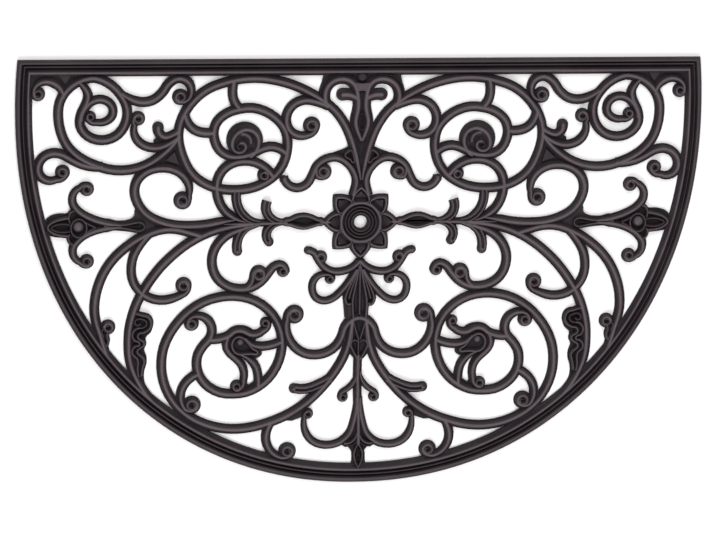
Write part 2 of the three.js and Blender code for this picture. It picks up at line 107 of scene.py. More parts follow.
# Half of a strand's section from its rim to its crest, as shares of its half width and its height:
# an upright rim, a narrow lip, a slightly hollow face and a broad rounded crest
SECTION = (
    (1.0, 0.0), (1.0, 0.28), (0.94, 0.37), (0.85, 0.35), (0.77, 0.31), (0.7, 0.36), (0.55, 0.54),
    (0.38, 0.79), (0.2, 0.95), (0.0, 1.0),
)

# The border's section from the mat's edge inwards: how far in a point lies at the straight edge, at
# the sides and at the lowest point, in millimetres, and its share of the mat's height. A broad flat
# band, a shadow groove with a thin raised line, and an inner bar with a low lip.
BORDER_SECTION = (
    (0.0, 0.0, 0.0, 0.0), (0.0, 0.0, 0.0, 0.45), (0.5, 0.5, 0.5, 0.62), (1.5, 1.5, 1.6, 0.76),
    (2.6, 2.8, 3.0, 0.85), (3.4, 3.8, 4.2, 0.87), (4.2, 4.7, 5.3, 0.83), (4.8, 5.4, 6.1, 0.66),
    (5.3, 6.0, 6.9, 0.4), (5.7, 6.5, 7.5, 0.28), (6.0, 6.9, 8.2, 0.34), (6.3, 7.4, 9.0, 0.68),
    (6.7, 7.9, 9.6, 0.9), (7.1, 8.3, 10.1, 0.94), (7.7, 8.8, 10.6, 0.72), (8.6, 9.5, 11.0, 0.36),
    (9.6, 10.3, 11.4, 0.28), (10.6, 11.2, 12.0, 0.4), (11.6, 12.0, 12.8, 0.68),
    (12.6, 12.7, 13.5, 0.9), (13.6, 13.4, 14.3, 0.99), (14.5, 14.3, 15.4, 0.97),
    (15.3, 15.2, 16.5, 0.8), (16.1, 16.2, 17.8, 0.48), (16.8, 17.0, 19.2, 0.34),
    (17.5, 17.8, 20.6, 0.36), (18.2, 18.4, 21.2, 0.28), (18.2, 18.4, 21.2, 0.0),
)

# How the crest of an eye winds in from the rolled end of its strand: turns, distance from the
# centre and half width as shares of the boss's radius, and share of the height
EYE_CREST = (
    (0.0, 0.56, 0.44, 1.0), (0.25, 0.55, 0.44, 1.0), (0.5, 0.54, 0.44, 0.99),
    (0.75, 0.5, 0.42, 0.97), (1.0, 0.41, 0.34, 0.95), (1.2, 0.27, 0.27, 0.92),
    (1.35, 0.14, 0.22, 0.88),
)
EYE_CREST_STEPS = 28

# The floors of the round bosses, and how many rings and sectors their tops have
EYE_FLOOR = 1.8
EYE_GRID = (8, 28)
ROUND_END_FLOOR = 2.6
ROUND_END_GRID = (6, 20)
COIL_GRID = (20, 64)

# What the tables below hold, column by column
Strand = namedtuple("Strand", "name width root tip eye knots")
Boss = namedtuple("Boss", "name x y radius")
Spiral = namedtuple("Spiral", "name x y radius start hand")
Rib = namedtuple("Rib", "name width height closed knots")
Plate = namedtuple("Plate", "name height smooth knots")
Relief = namedtuple("Relief", "name x y radius floor crests")
Dome = namedtuple("Dome", "name x y top section")

# Strands of the left half, by the knots of their middle line and their width. Root and tip are
# the widths at the first and the last knot, and None keeps the strand's own. An eye is the centre
# that the last end rolls in to, and the radius of the boss there.
STRANDS = (
    Strand("corner curl", 11, 8, 9, (-350.5, 199.7, 8), (
        (-322.8, 195.5), (-325.3, 204.5), (-331.5, 210.5), (-341, 213.6), (-350, 211))),
    Strand("upper outer ring", 11, None, None, None, (
        (-290, 217), (-306, 213.3), (-319.5, 203.5), (-327, 190.5), (-328.7, 175), (-326, 158),
        (-320.5, 145), (-311.5, 134.5), (-301, 127), (-289, 121.5), (-275.5, 117), (-260, 115.5),
        (-243, 118), (-228, 124.5), (-215, 134), (-205, 144), (-198, 154))),
    Strand("upper outer volute", 11, None, 7, None, (
        (-290, 217), (-275.5, 211.5), (-262.5, 199.5), (-254.7, 183), (-256, 168), (-264, 155.5),
        (-281.5, 148.8), (-297, 153.5), (-305.3, 165), (-303.5, 179), (-298, 190), (-296.7, 199),
        (-300, 206), (-306, 212.3))),
    Strand("upper outer curl", 10, None, 8, (-294.5, 174.5, 6.5), (
        (-304.5, 170), (-300.5, 183), (-292, 191.6), (-281, 193.3), (-271.5, 187), (-270.3, 176.5),
        (-277.5, 169.5), (-287, 168.3))),
    Strand("side scroll", 11, None, 8.5, (-324.3, 114.3, 8), (
        (-281, 119.8), (-303.5, 122.7), (-314, 127.7), (-323, 133), (-333, 135.3), (-343.5, 132),
        (-350.3, 122.5), (-349.3, 111.8), (-341, 105.3), (-331.5, 106.3))),
    Strand("hanging wave", 11, 7, 8, (-197.2, 195.5, 9), (
        (-261.5, 200.5), (-253.5, 195), (-242, 190.5), (-227.5, 192), (-217, 200), (-209.5, 210.5),
        (-199.5, 216), (-189.5, 212.5), (-185.3, 203.5), (-188, 194))),
    Strand("upper hook", 10.5, None, 7, (-243, 172.5, 8), (
        (-198, 153), (-208, 145.5), (-219, 140.8), (-231, 140.8), (-241.5, 146.3), (-247, 155.5),
        (-246.7, 165.5))),
    Strand("upper thumb", 10, None, 12.4, None, (
        (-199, 158.5), (-207.5, 153.3), (-214.5, 152), (-219.5, 155.4), (-221.2, 162.4))),
    Strand("upper inner ring", 11, 5, None, None, (
        (-1, 104), (-1.8, 110.5), (-3.4, 118), (-6.4, 132), (-10.7, 147), (-18, 164),
        (-29, 179.5), (-42, 190.5), (-57, 199.5), (-73, 207), (-91, 212.5), (-110, 215.5),
        (-130, 215), (-148, 211.3), (-166.5, 204.5), (-181, 193.5), (-191.5, 180), (-197.5, 166),
        (-199.3, 152), (-197.3, 139), (-193.3, 127), (-187.5, 115.5), (-179, 106), (-169, 99.5),
        (-157, 95), (-143, 93), (-129, 93.3), (-116, 96), (-104, 101.5), (-93, 110),
        (-85.3, 121), (-81.3, 134), (-80.7, 148))),
    Strand("upper inner volute", 11, None, None, None, (
        (-80.7, 146), (-84.5, 161), (-94.5, 172.5), (-106, 179.5), (-119, 183), (-133, 182),
        (-147.5, 177), (-157.5, 168), (-161, 156.5), (-159.5, 146.5), (-154.5, 137), (-145.5, 131),
        (-134, 129.7), (-122, 132), (-110.5, 137.5), (-100, 140.5), (-90.5, 138.8), (-82, 133))),
    Strand("upper link", 10.8, None, None, None, (
        (-139.3, 213), (-140.8, 202.5), (-139.8, 193), (-133.5, 183))),
    Strand("side link", 11, None, None, None, (
        (-192.5, 176.5), (-190, 168.5), (-182.5, 159.8), (-172, 156.2), (-160, 156.7))),
    Strand("loop under the ring", 11, 4, None, None, (
        (-126, 58), (-138.5, 62.5), (-148, 69.5), (-154.5, 80), (-157.3, 92), (-156.7, 104),
        (-151.3, 114.5), (-141.5, 122), (-128.5, 125), (-115.5, 123.3), (-104.5, 117),
        (-96.5, 108))),
    Strand("inner scroll", 11, None, 9, (-54.5, 163.5, 9.5), (
        (-36, 184.5), (-49, 189.5), (-62, 191.5), (-73.5, 187.3), (-81, 177.5), (-82, 166),
        (-77.3, 156.8), (-68, 152.3), (-58, 153.3))),
    Strand("wavy hook", 10, None, None, None, (
        (-8.6, 86), (-6.2, 94.5), (-5.1, 102.5), (-7, 110.5), (-13.2, 120), (-25.5, 127.8),
        (-38.5, 126.3), (-48.3, 119), (-53.3, 108.5), (-59, 99), (-69.5, 94.6), (-79.5, 98.3),
        (-84.5, 107))),
    Strand("wavy hook curl", 8, None, None, (-41.3, 112.3, 9.3), (
        (-44, 123.5), (-49.3, 116), (-47.5, 107.7))),
    Strand("top loop", 12, None, 8, None, (
        (-38.5, 187), (-40, 201), (-34, 210.6), (-22, 214.6), (-12.5, 212), (-7.2, 206),
        (-5.2, 198.5), (-4.2, 191), (-4, 185), (-5.2, 177.5), (-6.8, 170), (-6.3, 162.5),
        (-3.8, 155), (-0.5, 147))),
    Strand("top leaf", 14, 11, None, None, ((-4, 192.5), (-12.5, 196.8), (-21, 197.3))),
    Strand("middle scroll", 11, 4, 7, (-194.5, 82, 10), (
        (-136, 61), (-150, 58.5), (-168, 55), (-187, 53.7), (-205, 55), (-221, 59.5), (-235, 68),
        (-243.5, 80), (-246.7, 92.5), (-243.5, 105), (-232.5, 114.8), (-216.5, 118.3),
        (-202, 115.3), (-191.5, 107), (-187, 94.5), (-187.7, 87.5))),
    Strand("finial's upper curl", 9.5, 5, 7.5, (-298.2, 95.7, 8), (
        (-261, 55.8), (-270, 56.6), (-281, 58.6), (-295.5, 63.8), (-307, 71), (-313.5, 80.5),
        (-312.8, 90), (-305.5, 97))),
    Strand("finial's lower curl", 9.5, 5, 7.5, (-298.4, 15.8, 8), (
        (-261, 53.8), (-270, 53.2), (-281, 51.9), (-295.5, 47.5), (-307, 40), (-313.4, 30.5),
        (-312.2, 21), (-305, 14.6))),
    Strand("level stem, inner part", 8, 2.5, 6, None, ((-150, 56), (-100, 56.3), (-80, 56.8))),
    Strand("level stem by the flower", 8, 6, None, None, ((-45, 57), (-40, 57), (-34, 57))),
    Strand("upper leaf by the ring", 10.8, 6, None, None, (
        (-110, 57.3), (-122.5, 60.3), (-130.5, 67.5), (-135, 77), (-135.7, 92))),
    Strand("lower leaf by the ring", 10.8, 6, None, None, (
        (-110, 55.6), (-122, 52.7), (-130.5, 46), (-134.5, 36.5), (-134.7, 24.5))),
    Strand("upper leaf on the stem", 11, 6, None, None, (
        (-84, 57.5), (-94, 59), (-101, 64.5), (-103.8, 72), (-102.3, 80.5))),
    Strand("lower leaf on the stem", 10.4, 6, None, None, (
        (-84, 56), (-94, 54.8), (-101, 49.5), (-103, 42), (-100.3, 35.5))),
    Strand("outer branch", 11, None, 4, None, (
        (-174, 42.5), (-188, 47), (-201, 50.3), (-214, 50.6), (-228, 47), (-242, 40.3),
        (-254.5, 31.8), (-266.5, 21.3), (-277.5, 7), (-285.2, -9.5), (-289.5, -27), (-290, -43),
        (-287.5, -55), (-284.2, -65), (-281.8, -74), (-279.2, -82.5), (-275.6, -90.5),
        (-270.9, -97))),
    Strand("branch with a curl", 10.5, None, 8, (-193, -12, 9), (
        (-231, 45.5), (-240.5, 34), (-247.5, 21.5), (-250, 9), (-249.3, -3), (-244.8, -13.5),
        (-236.5, -22), (-225.5, -27.3), (-213, -28.3), (-201.5, -25.3), (-192, -21))),
    Strand("inner branch", 11, None, 4, None, (
        (-118, 55.5), (-134, 54), (-150, 51), (-165, 46.5), (-180, 39.5), (-194, 30.5),
        (-207, 19.7), (-218.3, 8.3), (-228, -4), (-236.5, -17), (-243.8, -31), (-249, -46),
        (-252.2, -61), (-253, -76), (-252.3, -91), (-249.3, -104), (-244.8, -115), (-240, -124),
        (-233.8, -133.5), (-226.5, -141.3), (-219.1, -148.4))),
    Strand("lower scroll", 11, 6, 9.5, (-84.3, 2.7, 7), (
        (-112, 54.8), (-131, 49.5), (-145.5, 43.5), (-156.3, 33), (-161.8, 20), (-161.3, 6),
        (-155.3, -6), (-144.5, -14), (-131.5, -17), (-118.5, -15), (-108.5, -8.8), (-101, 0),
        (-95, 7.3), (-88.5, 10.2))),
    Strand("lower scroll's bud", 9, None, 8, (-110.8, -0.3, 9.8), (
        (-128, -17), (-119.5, -11), (-117.3, -3))),
    Strand("lower ring, outer part", 11, None, None, None, (
        (-7.5, -52), (-9.3, -66), (-11.7, -80), (-17, -95), (-25.5, -110), (-36.5, -124.5),
        (-49.5, -138.5), (-64, -150.5), (-81, -160.5), (-100, -168), (-120, -173), (-140, -174.3),
        (-159, -171.5), (-176.5, -165), (-192, -155), (-204.5, -141.5), (-212.5, -126.5),
        (-216.5, -111), (-217, -96), (-214.5, -81), (-208, -66), (-198.5, -52.5), (-187, -41),
        (-172, -31.5), (-155, -26))),
    Strand("lower ring, inner part", 11, None, 8, (-184.4, -54.8, 8.3), (
        (-157, -26.5), (-138, -24.8), (-121.5, -27.7), (-107, -35), (-95.5, -46), (-88, -59.5),
        (-84.8, -74), (-85.8, -90), (-91, -105), (-99.5, -117.5), (-111, -127), (-124.5, -133),
        (-138.5, -134.5), (-152.5, -133), (-165, -126.5), (-174.5, -115.5), (-178.5, -102),
        (-176.8, -89), (-170.5, -79), (-164, -71.5), (-161.8, -62), (-165.3, -52.5),
        (-173.5, -46.8), (-183, -46.7))),
    Strand("ring's lower curl", 10.5, None, 9, (-183.5, -146.2, 10), (
        (-176.5, -111), (-187.3, -117.7), (-194.5, -128), (-195.8, -140), (-191, -150.5))),
    Strand("knot's upper arm", 11, None, 9.5, (-103, -55, 6.3), (
        (-163.9, -72.8), (-149.2, -71.2), (-142.6, -68.4), (-138.2, -64.6), (-132.6, -62.9),
        (-126.9, -63.9), (-120.3, -67.4), (-112.6, -67.6), (-105.5, -63.3))),
    Strand("knot's level arm", 10.5, 5, None, None, (
        (-125.9, -71.2), (-122.6, -74.6), (-117.8, -79), (-110.3, -81.3), (-101, -81),
        (-85.5, -76))),
    Strand("knot's left leg", 9.8, 8, 9, (-134.3, -126, 7.3), (
        (-142.2, -67), (-145.8, -74.5), (-145.8, -82.5), (-141.6, -89), (-135.6, -94.4),
        (-129.9, -100.6), (-126.5, -109.5), (-127, -119.5))),
    Strand("knot's right leg", 10.3, 5, None, None, (
        (-131.4, -89), (-124.6, -92.6), (-117.8, -98), (-113.2, -104.8), (-111, -114),
        (-111, -127))),
    Strand("cup scroll", 11, None, 9.5, (-71.5, -46, 10.6), (
        (0, -50), (-8.5, -53), (-15.3, -60.5), (-19, -72), (-25, -82), (-35, -89), (-48, -91.8),
        (-61, -89.5), (-71, -82.5), (-78, -72), (-80.8, -60), (-79.5, -50.5))),
    Strand("upper spray", 9, None, None, None, (
        (0, 13.5), (-8.5, 5.5), (-19.5, 1.5), (-31, 1.8), (-40.5, 7.5), (-46.5, 16), (-51, 23),
        (-58, 25.3))),
    Strand("lower spray", 8.7, None, 6.5, (-32.6, -6.8, 5.8), (
        (-3.5, 4), (-12, -10.5), (-21.5, -22), (-31, -29.3), (-40, -31.2), (-48, -27.5),
        (-52, -19), (-51, -9.5), (-45, -3), (-36.5, -1.3))),
    Strand("curl on the border", 10.5, None, 9, (-78, -200.3, 9.8), (
        (-96.5, -167), (-101, -177), (-101.8, -188), (-97.8, -198), (-89, -205.5))),
    Strand("leaf on the ring", 11.4, None, None, None, (
        (-31, -118.5), (-45, -126), (-58, -130.3), (-71, -129.5))),
    Strand("foot scroll", 9, 6, 5.5, (-55.8, -158, 6.3), (
        (-1.8, -140), (-4.7, -168), (-10, -182), (-19, -190.3), (-30, -194), (-41, -193.5),
        (-50.3, -189.3), (-56.5, -182), (-59.7, -172.5), (-59.7, -162.5))),
    Strand("stem bud", 7.6, 3.5, 6.5, (-17.2, -139.7, 6), (
        (-1, -110), (-3.7, -120.5), (-9, -128), (-15.8, -132.8))),
)

# The strands that end in a leaf: two crests side by side on a lower, broader blade. The crests'
# distance from the middle line and their width as shares of the strand's, and the blade's height
LEAVES = (
    "upper leaf by the ring", "lower leaf by the ring", "upper leaf on the stem",
    "lower leaf on the stem", "leaf on the ring",
)
LEAF_CREST_PLACE = 0.2
LEAF_CREST_WIDTH = 0.52
LEAF_BLADE_HEIGHT = 5.0

# Round bosses of the left half that a crest winds in on without a strand's rolled end: the angle
# in degrees at which the crest sets in, and the hand it turns, 1 for counter-clockwise
SPIRALS = (
    Spiral("eye of the loop under the ring", -106, 109.3, 7.4, 85, -1),
    Spiral("upper spray bud", -43.4, 17.4, 7.6, 190, -1),
    Spiral("curl on the outer branch", -275.5, -57.5, 8.3, 175, -1),
)

# Rounded ends of strands in the left half
ROUND_ENDS = (
    Boss("upper thumb end", -221.2, 162.6, 6.3),
    Boss("top leaf end", -21.2, 197.3, 7),
    Boss("wavy hook end", -84.2, 104, 4.8),
    Boss("lower leaf end by the ring", -134.5, 25.3, 5.4),
    Boss("lower leaf end on the stem", -100, 35.3, 5.2),
    Boss("upper spray end", -57.3, 25.3, 4.4),
    Boss("leaf end on the ring", -71.3, -129.3, 5.6),
)

# Thin ribs of the left half in the carved places, by the knots of their crest
RIBS = (
    Rib("finial leaf's outer rib", 6.4, 7.6, False, (
        (-317.5, 64.5), (-323, 63.6), (-330, 61.9), (-337.2, 58.6), (-340.6, 54.3), (-337.2, 49.6),
        (-330.5, 46.3), (-323, 45), (-317.5, 44.5))),
    Rib("finial leaf's inner rib", 4.2, 7.2, False, (
        (-316, 56.6), (-322, 57.8), (-328, 57.6), (-333.5, 55.9), (-336.7, 53.4), (-333.5, 50.6),
        (-328, 48.9), (-322, 48.7), (-316, 49.6))),
    Rib("ring round the finial's button", 4.4, 7.7, True, (
        (-315.6, 53), (-313.2, 60), (-307, 63.2), (-300.8, 60), (-298.4, 53), (-300.8, 46),
        (-307, 42.8), (-313.2, 46))),
    Rib("upper side of the finial's heart", 4.4, 7.5, False, (
        (-300.8, 60), (-295.5, 56.8), (-289, 53.8))),
    Rib("lower side of the finial's heart", 4.4, 7.5, False, (
        (-300.8, 46.3), (-295.5, 50), (-289, 53.2))),
    Rib("edge of the finial's upper pocket", 4.8, 7.5, False, (
        (-316.6, 59), (-317.8, 64.5), (-316.2, 69.5), (-311.5, 72.5))),
    Rib("edge of the finial's lower pocket", 4.8, 7.5, False, (
        (-316.8, 47), (-318.2, 41.5), (-316.3, 37), (-311.8, 34.5))),
    Rib("hairpin at the stem's end", 4.4, 7.7, False, (
        (-280, 55.6), (-270, 55.9), (-261, 56), (-252, 57), (-245, 58.6), (-240.5, 58.8),
        (-237.2, 57), (-236, 54.2), (-237.2, 51.4), (-240.5, 49.6), (-245, 49.9), (-252, 51.6),
        (-261, 53), (-270, 53.6), (-280, 54.2))),
    Rib("line in the hairpin", 2.6, 6.6, False, ((-264, 54.6), (-252, 54.3), (-241.5, 54.3))),
    Rib("leaf's wavy rib by the branch", 6, 7.6, False, (
        (-240.8, -58.3), (-247.2, -61), (-249.2, -67.2), (-246.5, -72.2), (-241.3, -74.8),
        (-241.2, -77), (-246, -78.8), (-249.3, -83), (-248.6, -88), (-243.8, -92.3),
        (-242.8, -98), (-243.4, -104), (-242, -113))),
    Rib("leaf's wavy rib by the gap", 6, 7.6, False, (
        (-246, -42), (-238, -44.6), (-232, -46.2), (-228.9, -51), (-229.2, -57), (-232.2, -61),
        (-237, -63.6), (-241.8, -64.6), (-243.3, -68.2), (-241, -71.4), (-237, -73.6),
        (-236.5, -77.4), (-240.4, -80.6), (-243.8, -83.8), (-242.6, -87.6), (-237.9, -91.2),
        (-236.1, -95.6), (-237.6, -101), (-239.2, -112))),
    Rib("loop round the leaf's eyes", 4.6, 7.2, False, (
        (-241, -58.4), (-237.4, -58.2), (-233.6, -54.8), (-234.4, -50.4), (-238.6, -48.6),
        (-242.6, -48.2), (-246, -50.4), (-246, -54), (-242.6, -55.6), (-240, -53.2))),
    Rib("fan's inner rib", 5.6, 7.8, False, (
        (-0.8, 8), (-3.2, -6), (-6, -20), (-7.8, -30), (-7.6, -40), (-6.6, -51))),
    Rib("fan's middle rib", 5.2, 7.7, False, (
        (-1.6, 5), (-5.8, -8), (-9.6, -19), (-12, -28.5))),
    Rib("fan's outer rib", 5.6, 7.8, False, (
        (-2.4, 4), (-8.6, -9), (-13.2, -19), (-15.6, -26.5), (-15, -32), (-12, -35),
        (-9.6, -33.5))),
    Rib("lattice outer rib", 5.4, 7.8, False, ((-6.8, -50), (-7.4, -62), (-8.3, -74), (-10, -83))),
    Rib("lattice cross rib", 4.8, 7.6, False, ((-7, -53), (-4.5, -62), (-0.9, -74))),
    Rib("lattice bar", 4.4, 7.4, False, ((-8.8, -78), (-4.8, -75.2), (-0.6, -77.5))),
    Rib("lattice foot rib", 5.2, 7.8, False, ((-9.3, -81), (-5.4, -89.5), (-0.8, -97))),
    Rib("leaf cell's rib", 4.6, 7.6, True, (
        (-18, 130.6), (-15, 134.6), (-11, 136.2), (-9.2, 132.5), (-8.2, 127.5), (-8, 123),
        (-12.5, 126.4))),
    Rib("wing of the foot", 6.2, 7.6, False, (
        (-0.6, -179), (-2.8, -185.5), (-7.2, -190.4), (-11.6, -192), (-15.6, -191.6))),
    Rib("wing's lower rib", 4.4, 6.6, False, (
        (-0.6, -188), (-3.6, -192.6), (-8.4, -194.8), (-12.2, -193.8))),
    Rib("left line of the curl's tail", 4.4, 7.4, False, (
        (-280, -58.5), (-282.6, -62.8), (-280.7, -66.4), (-281.2, -70), (-279.5, -74),
        (-277, -78))),
    Rib("right line of the curl's tail", 4.6, 7.6, False, (
        (-273.5, -60), (-277, -65), (-275.9, -70.3), (-275.6, -74), (-278, -79))),
    Rib("top loop's outer line", 3.2, 5.4, False, (
        (-45.5, 197), (-43.8, 207), (-38.5, 214.5), (-29, 218.6), (-16, 219.4))),
    Rib("knot's teardrop", 6.4, 7.8, True, (
        (-132.6, -69.6), (-126.9, -71.8), (-121.4, -77.7), (-116.9, -83.3), (-112, -88.4),
        (-118, -89), (-124.9, -89), (-132.6, -89.2), (-137, -86.8), (-139.9, -81),
        (-139.9, -76.5), (-137.6, -72))),
    Rib("bead on the level stem", 6, 8.0, True, (
        (-83.5, 57), (-77, 59.8), (-70, 63), (-62, 64.2), (-54, 62.4), (-47, 59.2), (-41, 57),
        (-47, 54.8), (-54, 52.6), (-62, 51), (-70, 52.4), (-77, 54.8))),
)

# Ribs on the middle line, and those without a twin on the other half
MIDDLE_RIBS = (
    Rib("lens between the twin stems", 3.2, 6.2, True, (
        (0, 177), (-2.7, 171), (-2.7, 166), (0, 158), (2.7, 166), (2.7, 171))),
    Rib("fan's middle line", 5.0, 7.8, False, ((0, 15), (0, -46))),
    Rib("lattice middle line", 4.4, 7.6, False, ((-0.8, -73), (-0.8, -100))),
    Rib("stem", 9.6, 8.0, False, ((-0.8, -92), (-0.8, -140), (0, -160), (0.6, -193))),
    Rib("right side of the foot's lens", 4.2, 7.8, False, (
        (0.1, -191.5), (3.1, -197), (5.0, -203.5), (4.4, -209.8), (0.5, -219.5))),
    Rib("left side of the foot's lens", 4.2, 7.8, False, (
        (0.9, -191.5), (-2.1, -197), (-4.0, -203.5), (-3.4, -209.8), (0.5, -219.5))),
    Rib("foot's inner lens", 2.4, 6.0, True, (
        (0.5, -198.5), (1.7, -204), (0.5, -211.5), (-0.7, -204))),
    Rib("left block's outer rib", 4.6, 5.6, False, ((-14.8, -33), (-14, -50))),
)

# Thin flat webs and low floors of the left half, between the strands
PLATES = (
    Plate("finial leaf", 1.8, True, (
        (-345, 54.5), (-341, 64), (-329, 68.8), (-318, 69.5), (-313, 74), (-309, 55), (-313, 35),
        (-319, 41.5), (-329, 42.3), (-340, 45.5))),
    Plate("finial fan", 1.8, False, (
        (-317, 55), (-317, 70), (-306, 73), (-292, 62), (-276, 55), (-292, 48.5), (-306, 37),
        (-317, 39))),
    Plate("ribbed leaf", 2.0, True, (
        (-246, -39), (-239, -43.3), (-231.5, -46), (-226.5, -54), (-228.7, -64), (-234, -69.5),
        (-234, -77.5), (-236, -83.5), (-233.5, -90), (-233.2, -99), (-236, -108), (-235.5, -119),
        (-232.5, -128), (-230, -136), (-240, -126), (-248.5, -106), (-250.5, -80), (-248.5, -55))),
    Plate("leaf cell", 2.1, False, (
        (-5, 146), (-12, 141), (-21, 136.7), (-31, 133.3), (-20, 122), (-5, 114))),
    Plate("twin stems", 1.8, False, (
        (3, 203), (-6, 198), (-5, 150), (-8, 108), (-7.6, 90), (3, 88))),
    Plate("fan of ribs", 1.8, False, (
        (3, 16), (-6, 4), (-14, -12), (-18.6, -22), (-17.2, -31), (-14.5, -36.6), (-10.5, -37.6),
        (-8.8, -41), (-8.6, -47), (-10.5, -52), (3, -52))),
    Plate("lattice", 1.8, False, (
        (3, -48), (-12, -52), (-17, -64), (-17.5, -84), (-11, -90), (-5, -97), (3, -98))),
    Plate("corner web", 2.0, False, ((-337, 220), (-322, 201), (-309, 220))),
    Plate("raised field in the corner web", 4.6, False, (
        (-328.8, 221), (-320.8, 210.5), (-314.8, 221))),
    Plate("web of three rings", 2.0, False, (
        (-202, 142), (-224, 121), (-207, 114), (-191, 112), (-194, 130))),
    Plate("raised field in the web", 5.0, False, ((-203.4, 136), (-213, 126.6), (-199, 122.4))),
    Plate("corner pocket", 2.0, False, ((-359, 221), (-330, 221), (-340, 214), (-352, 205))),
    Plate("stem's end", 2.7, True, (
        (-282, 60), (-264, 60.3), (-252, 61.8), (-246.8, 65.5), (-246, 72), (-238, 68), (-232, 62),
        (-224, 55), (-232, 49), (-243, 46.6), (-252, 48), (-268, 49.6), (-282, 49.5))),
    Plate("web by the upper hook", 2.0, False, (
        (-226.2, 148.6), (-221, 152), (-212, 148), (-219, 143), (-225.5, 145))),
    Plate("fin on the ring", 2.4, False, (
        (-83, -165.5), (-73, -166), (-62, -162), (-60, -156), (-68, -151))),
    Plate("top pocket", 1.8, False, ((4, 220), (-17, 220), (-9, 203), (4, 196))),
    Plate("field under the top pocket", 7.3, False, (
        (1, 209.5), (-8, 210.5), (-7, 203.5), (-5.5, 201), (1, 202.5))),
    Plate("corner of the top loop", 2.6, False, (
        (-47.5, 197), (-41.5, 221), (-12, 221), (-22, 212), (-36, 204), (-40, 195))),
    Plate("knot head", 2.2, True, (
        (-151.5, -75), (-149.8, -84), (-144, -92), (-136, -96), (-126, -94), (-117, -95),
        (-110, -93.6), (-106.6, -89.6), (-109.5, -84), (-114, -78), (-112, -69), (-119, -61),
        (-130, -57.5), (-142, -61), (-150, -69))),
    Plate("ring between the legs", 2.1, False, (
        (-137, -132), (-129, -118), (-121, -124.5), (-112, -118), (-108, -130))),
    Plate("bead on the level stem", 2.0, True, (
        (-84, 57), (-74, 62), (-62, 65), (-51, 62), (-41, 57), (-51, 52), (-62, 49.6), (-74, 52))),
    Plate("foot", 2.2, False, (
        (1, -174), (-6, -175), (-11, -186), (-18.5, -191), (-17, -195), (-14, -196.8),
        (-10.6, -196.8), (-8.2, -199.6), (-6.7, -202.5), (-6.4, -212), (-8, -218), (1, -218))),
    Plate("curl's tail", 2.4, True, (
        (-284, -57), (-276, -61), (-274.5, -66.5), (-273, -72), (-274.6, -76.5), (-281, -82),
        (-287, -70))),
)

# Low places without a twin on the other half
SINGLE_PLATES = (
    Plate("block beside the fan", 3.6, False, (
        (-17.9, -33), (-17, -42), (-16.6, -48), (-14, -52), (-7, -52), (-7, -33))),
    Plate("right edge of the foot", 2.2, False, (
        (5, -198), (7.4, -200.5), (8.3, -204), (8.4, -212), (9.5, -218), (5, -218))),
)

# Round carved places of the left half. A crest is its half width, its height and its knots.
RELIEFS = (
    Relief("fat coil", -127.3, 148, 20, 2.2, (
        (5.4, 8.0, ((-121, 129.5), (-115.8, 135), (-112.6, 142), (-112.6, 150), (-116, 156),
                    (-121, 159), (-127, 159.8), (-133, 157.6), (-138, 153), (-140.8, 147),
                    (-141, 141))),
        (4.4, 7.8, ((-141, 141), (-139, 137), (-134.5, 134.6), (-130, 135.3), (-127, 138.3),
                    (-126.4, 142), (-128.6, 144.8), (-132, 145.2))),
        (2.4, 7.2, ((-132, 145.2), (-135, 143), (-135.4, 140), (-132.8, 138.6))),
        (5.4, 7.5, ((-130.5, 155), (-125, 153.8), (-121.6, 150.3), (-120.8, 145.5))),
    )),
)

# Round domes of the left half, and the one in the pocket under the straight edge. A section goes
# from the middle out, by radius and height, and starts at a small flat of the top's height.
DOMES = (
    Dome("finial's button", -307.6, 55, 7.8, (
        (1.8, 7.7), (3.8, 7.3), (5.3, 6.3), (6.2, 4.8), (6.6, 3.0), (6.6, 0.0))),
    Dome("dome in the knot's head", -131, -75.6, 7.6, (
        (1.6, 7.4), (3.2, 6.6), (4.2, 5.2), (4.7, 3.2), (4.7, 0.0))),
)
POCKET_DOME = Dome("dome in the top pocket", 0, 217, 6.5, (
    (1.5, 6.4), (3.2, 5.9), (4.6, 4.9), (5.4, 3.2), (5.4, 0.0)))
DOME_FLAT = 0.4
DOME_STEPS = 28

# The flower's round middle, from the rim of its hole out: fine rings and one broad one
RING_SECTION = (
    (7.1, 0.0), (7.1, 4.4), (7.8, 5.0), (8.7, 4.6), (9.4, 6.6), (10.1, 7.5), (10.8, 6.4),
    (11.6, 3.2), (12.5, 6.0), (13.3, 7.8), (14.1, 6.2), (15.1, 3.0), (16.1, 6.2), (16.9, 7.8),
    (17.7, 6.0), (18.5, 2.6), (19.2, 3.4), (20.0, 6.8), (20.9, 7.8), (21.9, 7.9), (22.7, 7.1),
    (23.6, 4.2), (24.4, 2.6), (26.4, 2.2), (29.0, 2.2), (29.0, 0.0),
)
RING_STEPS = 72

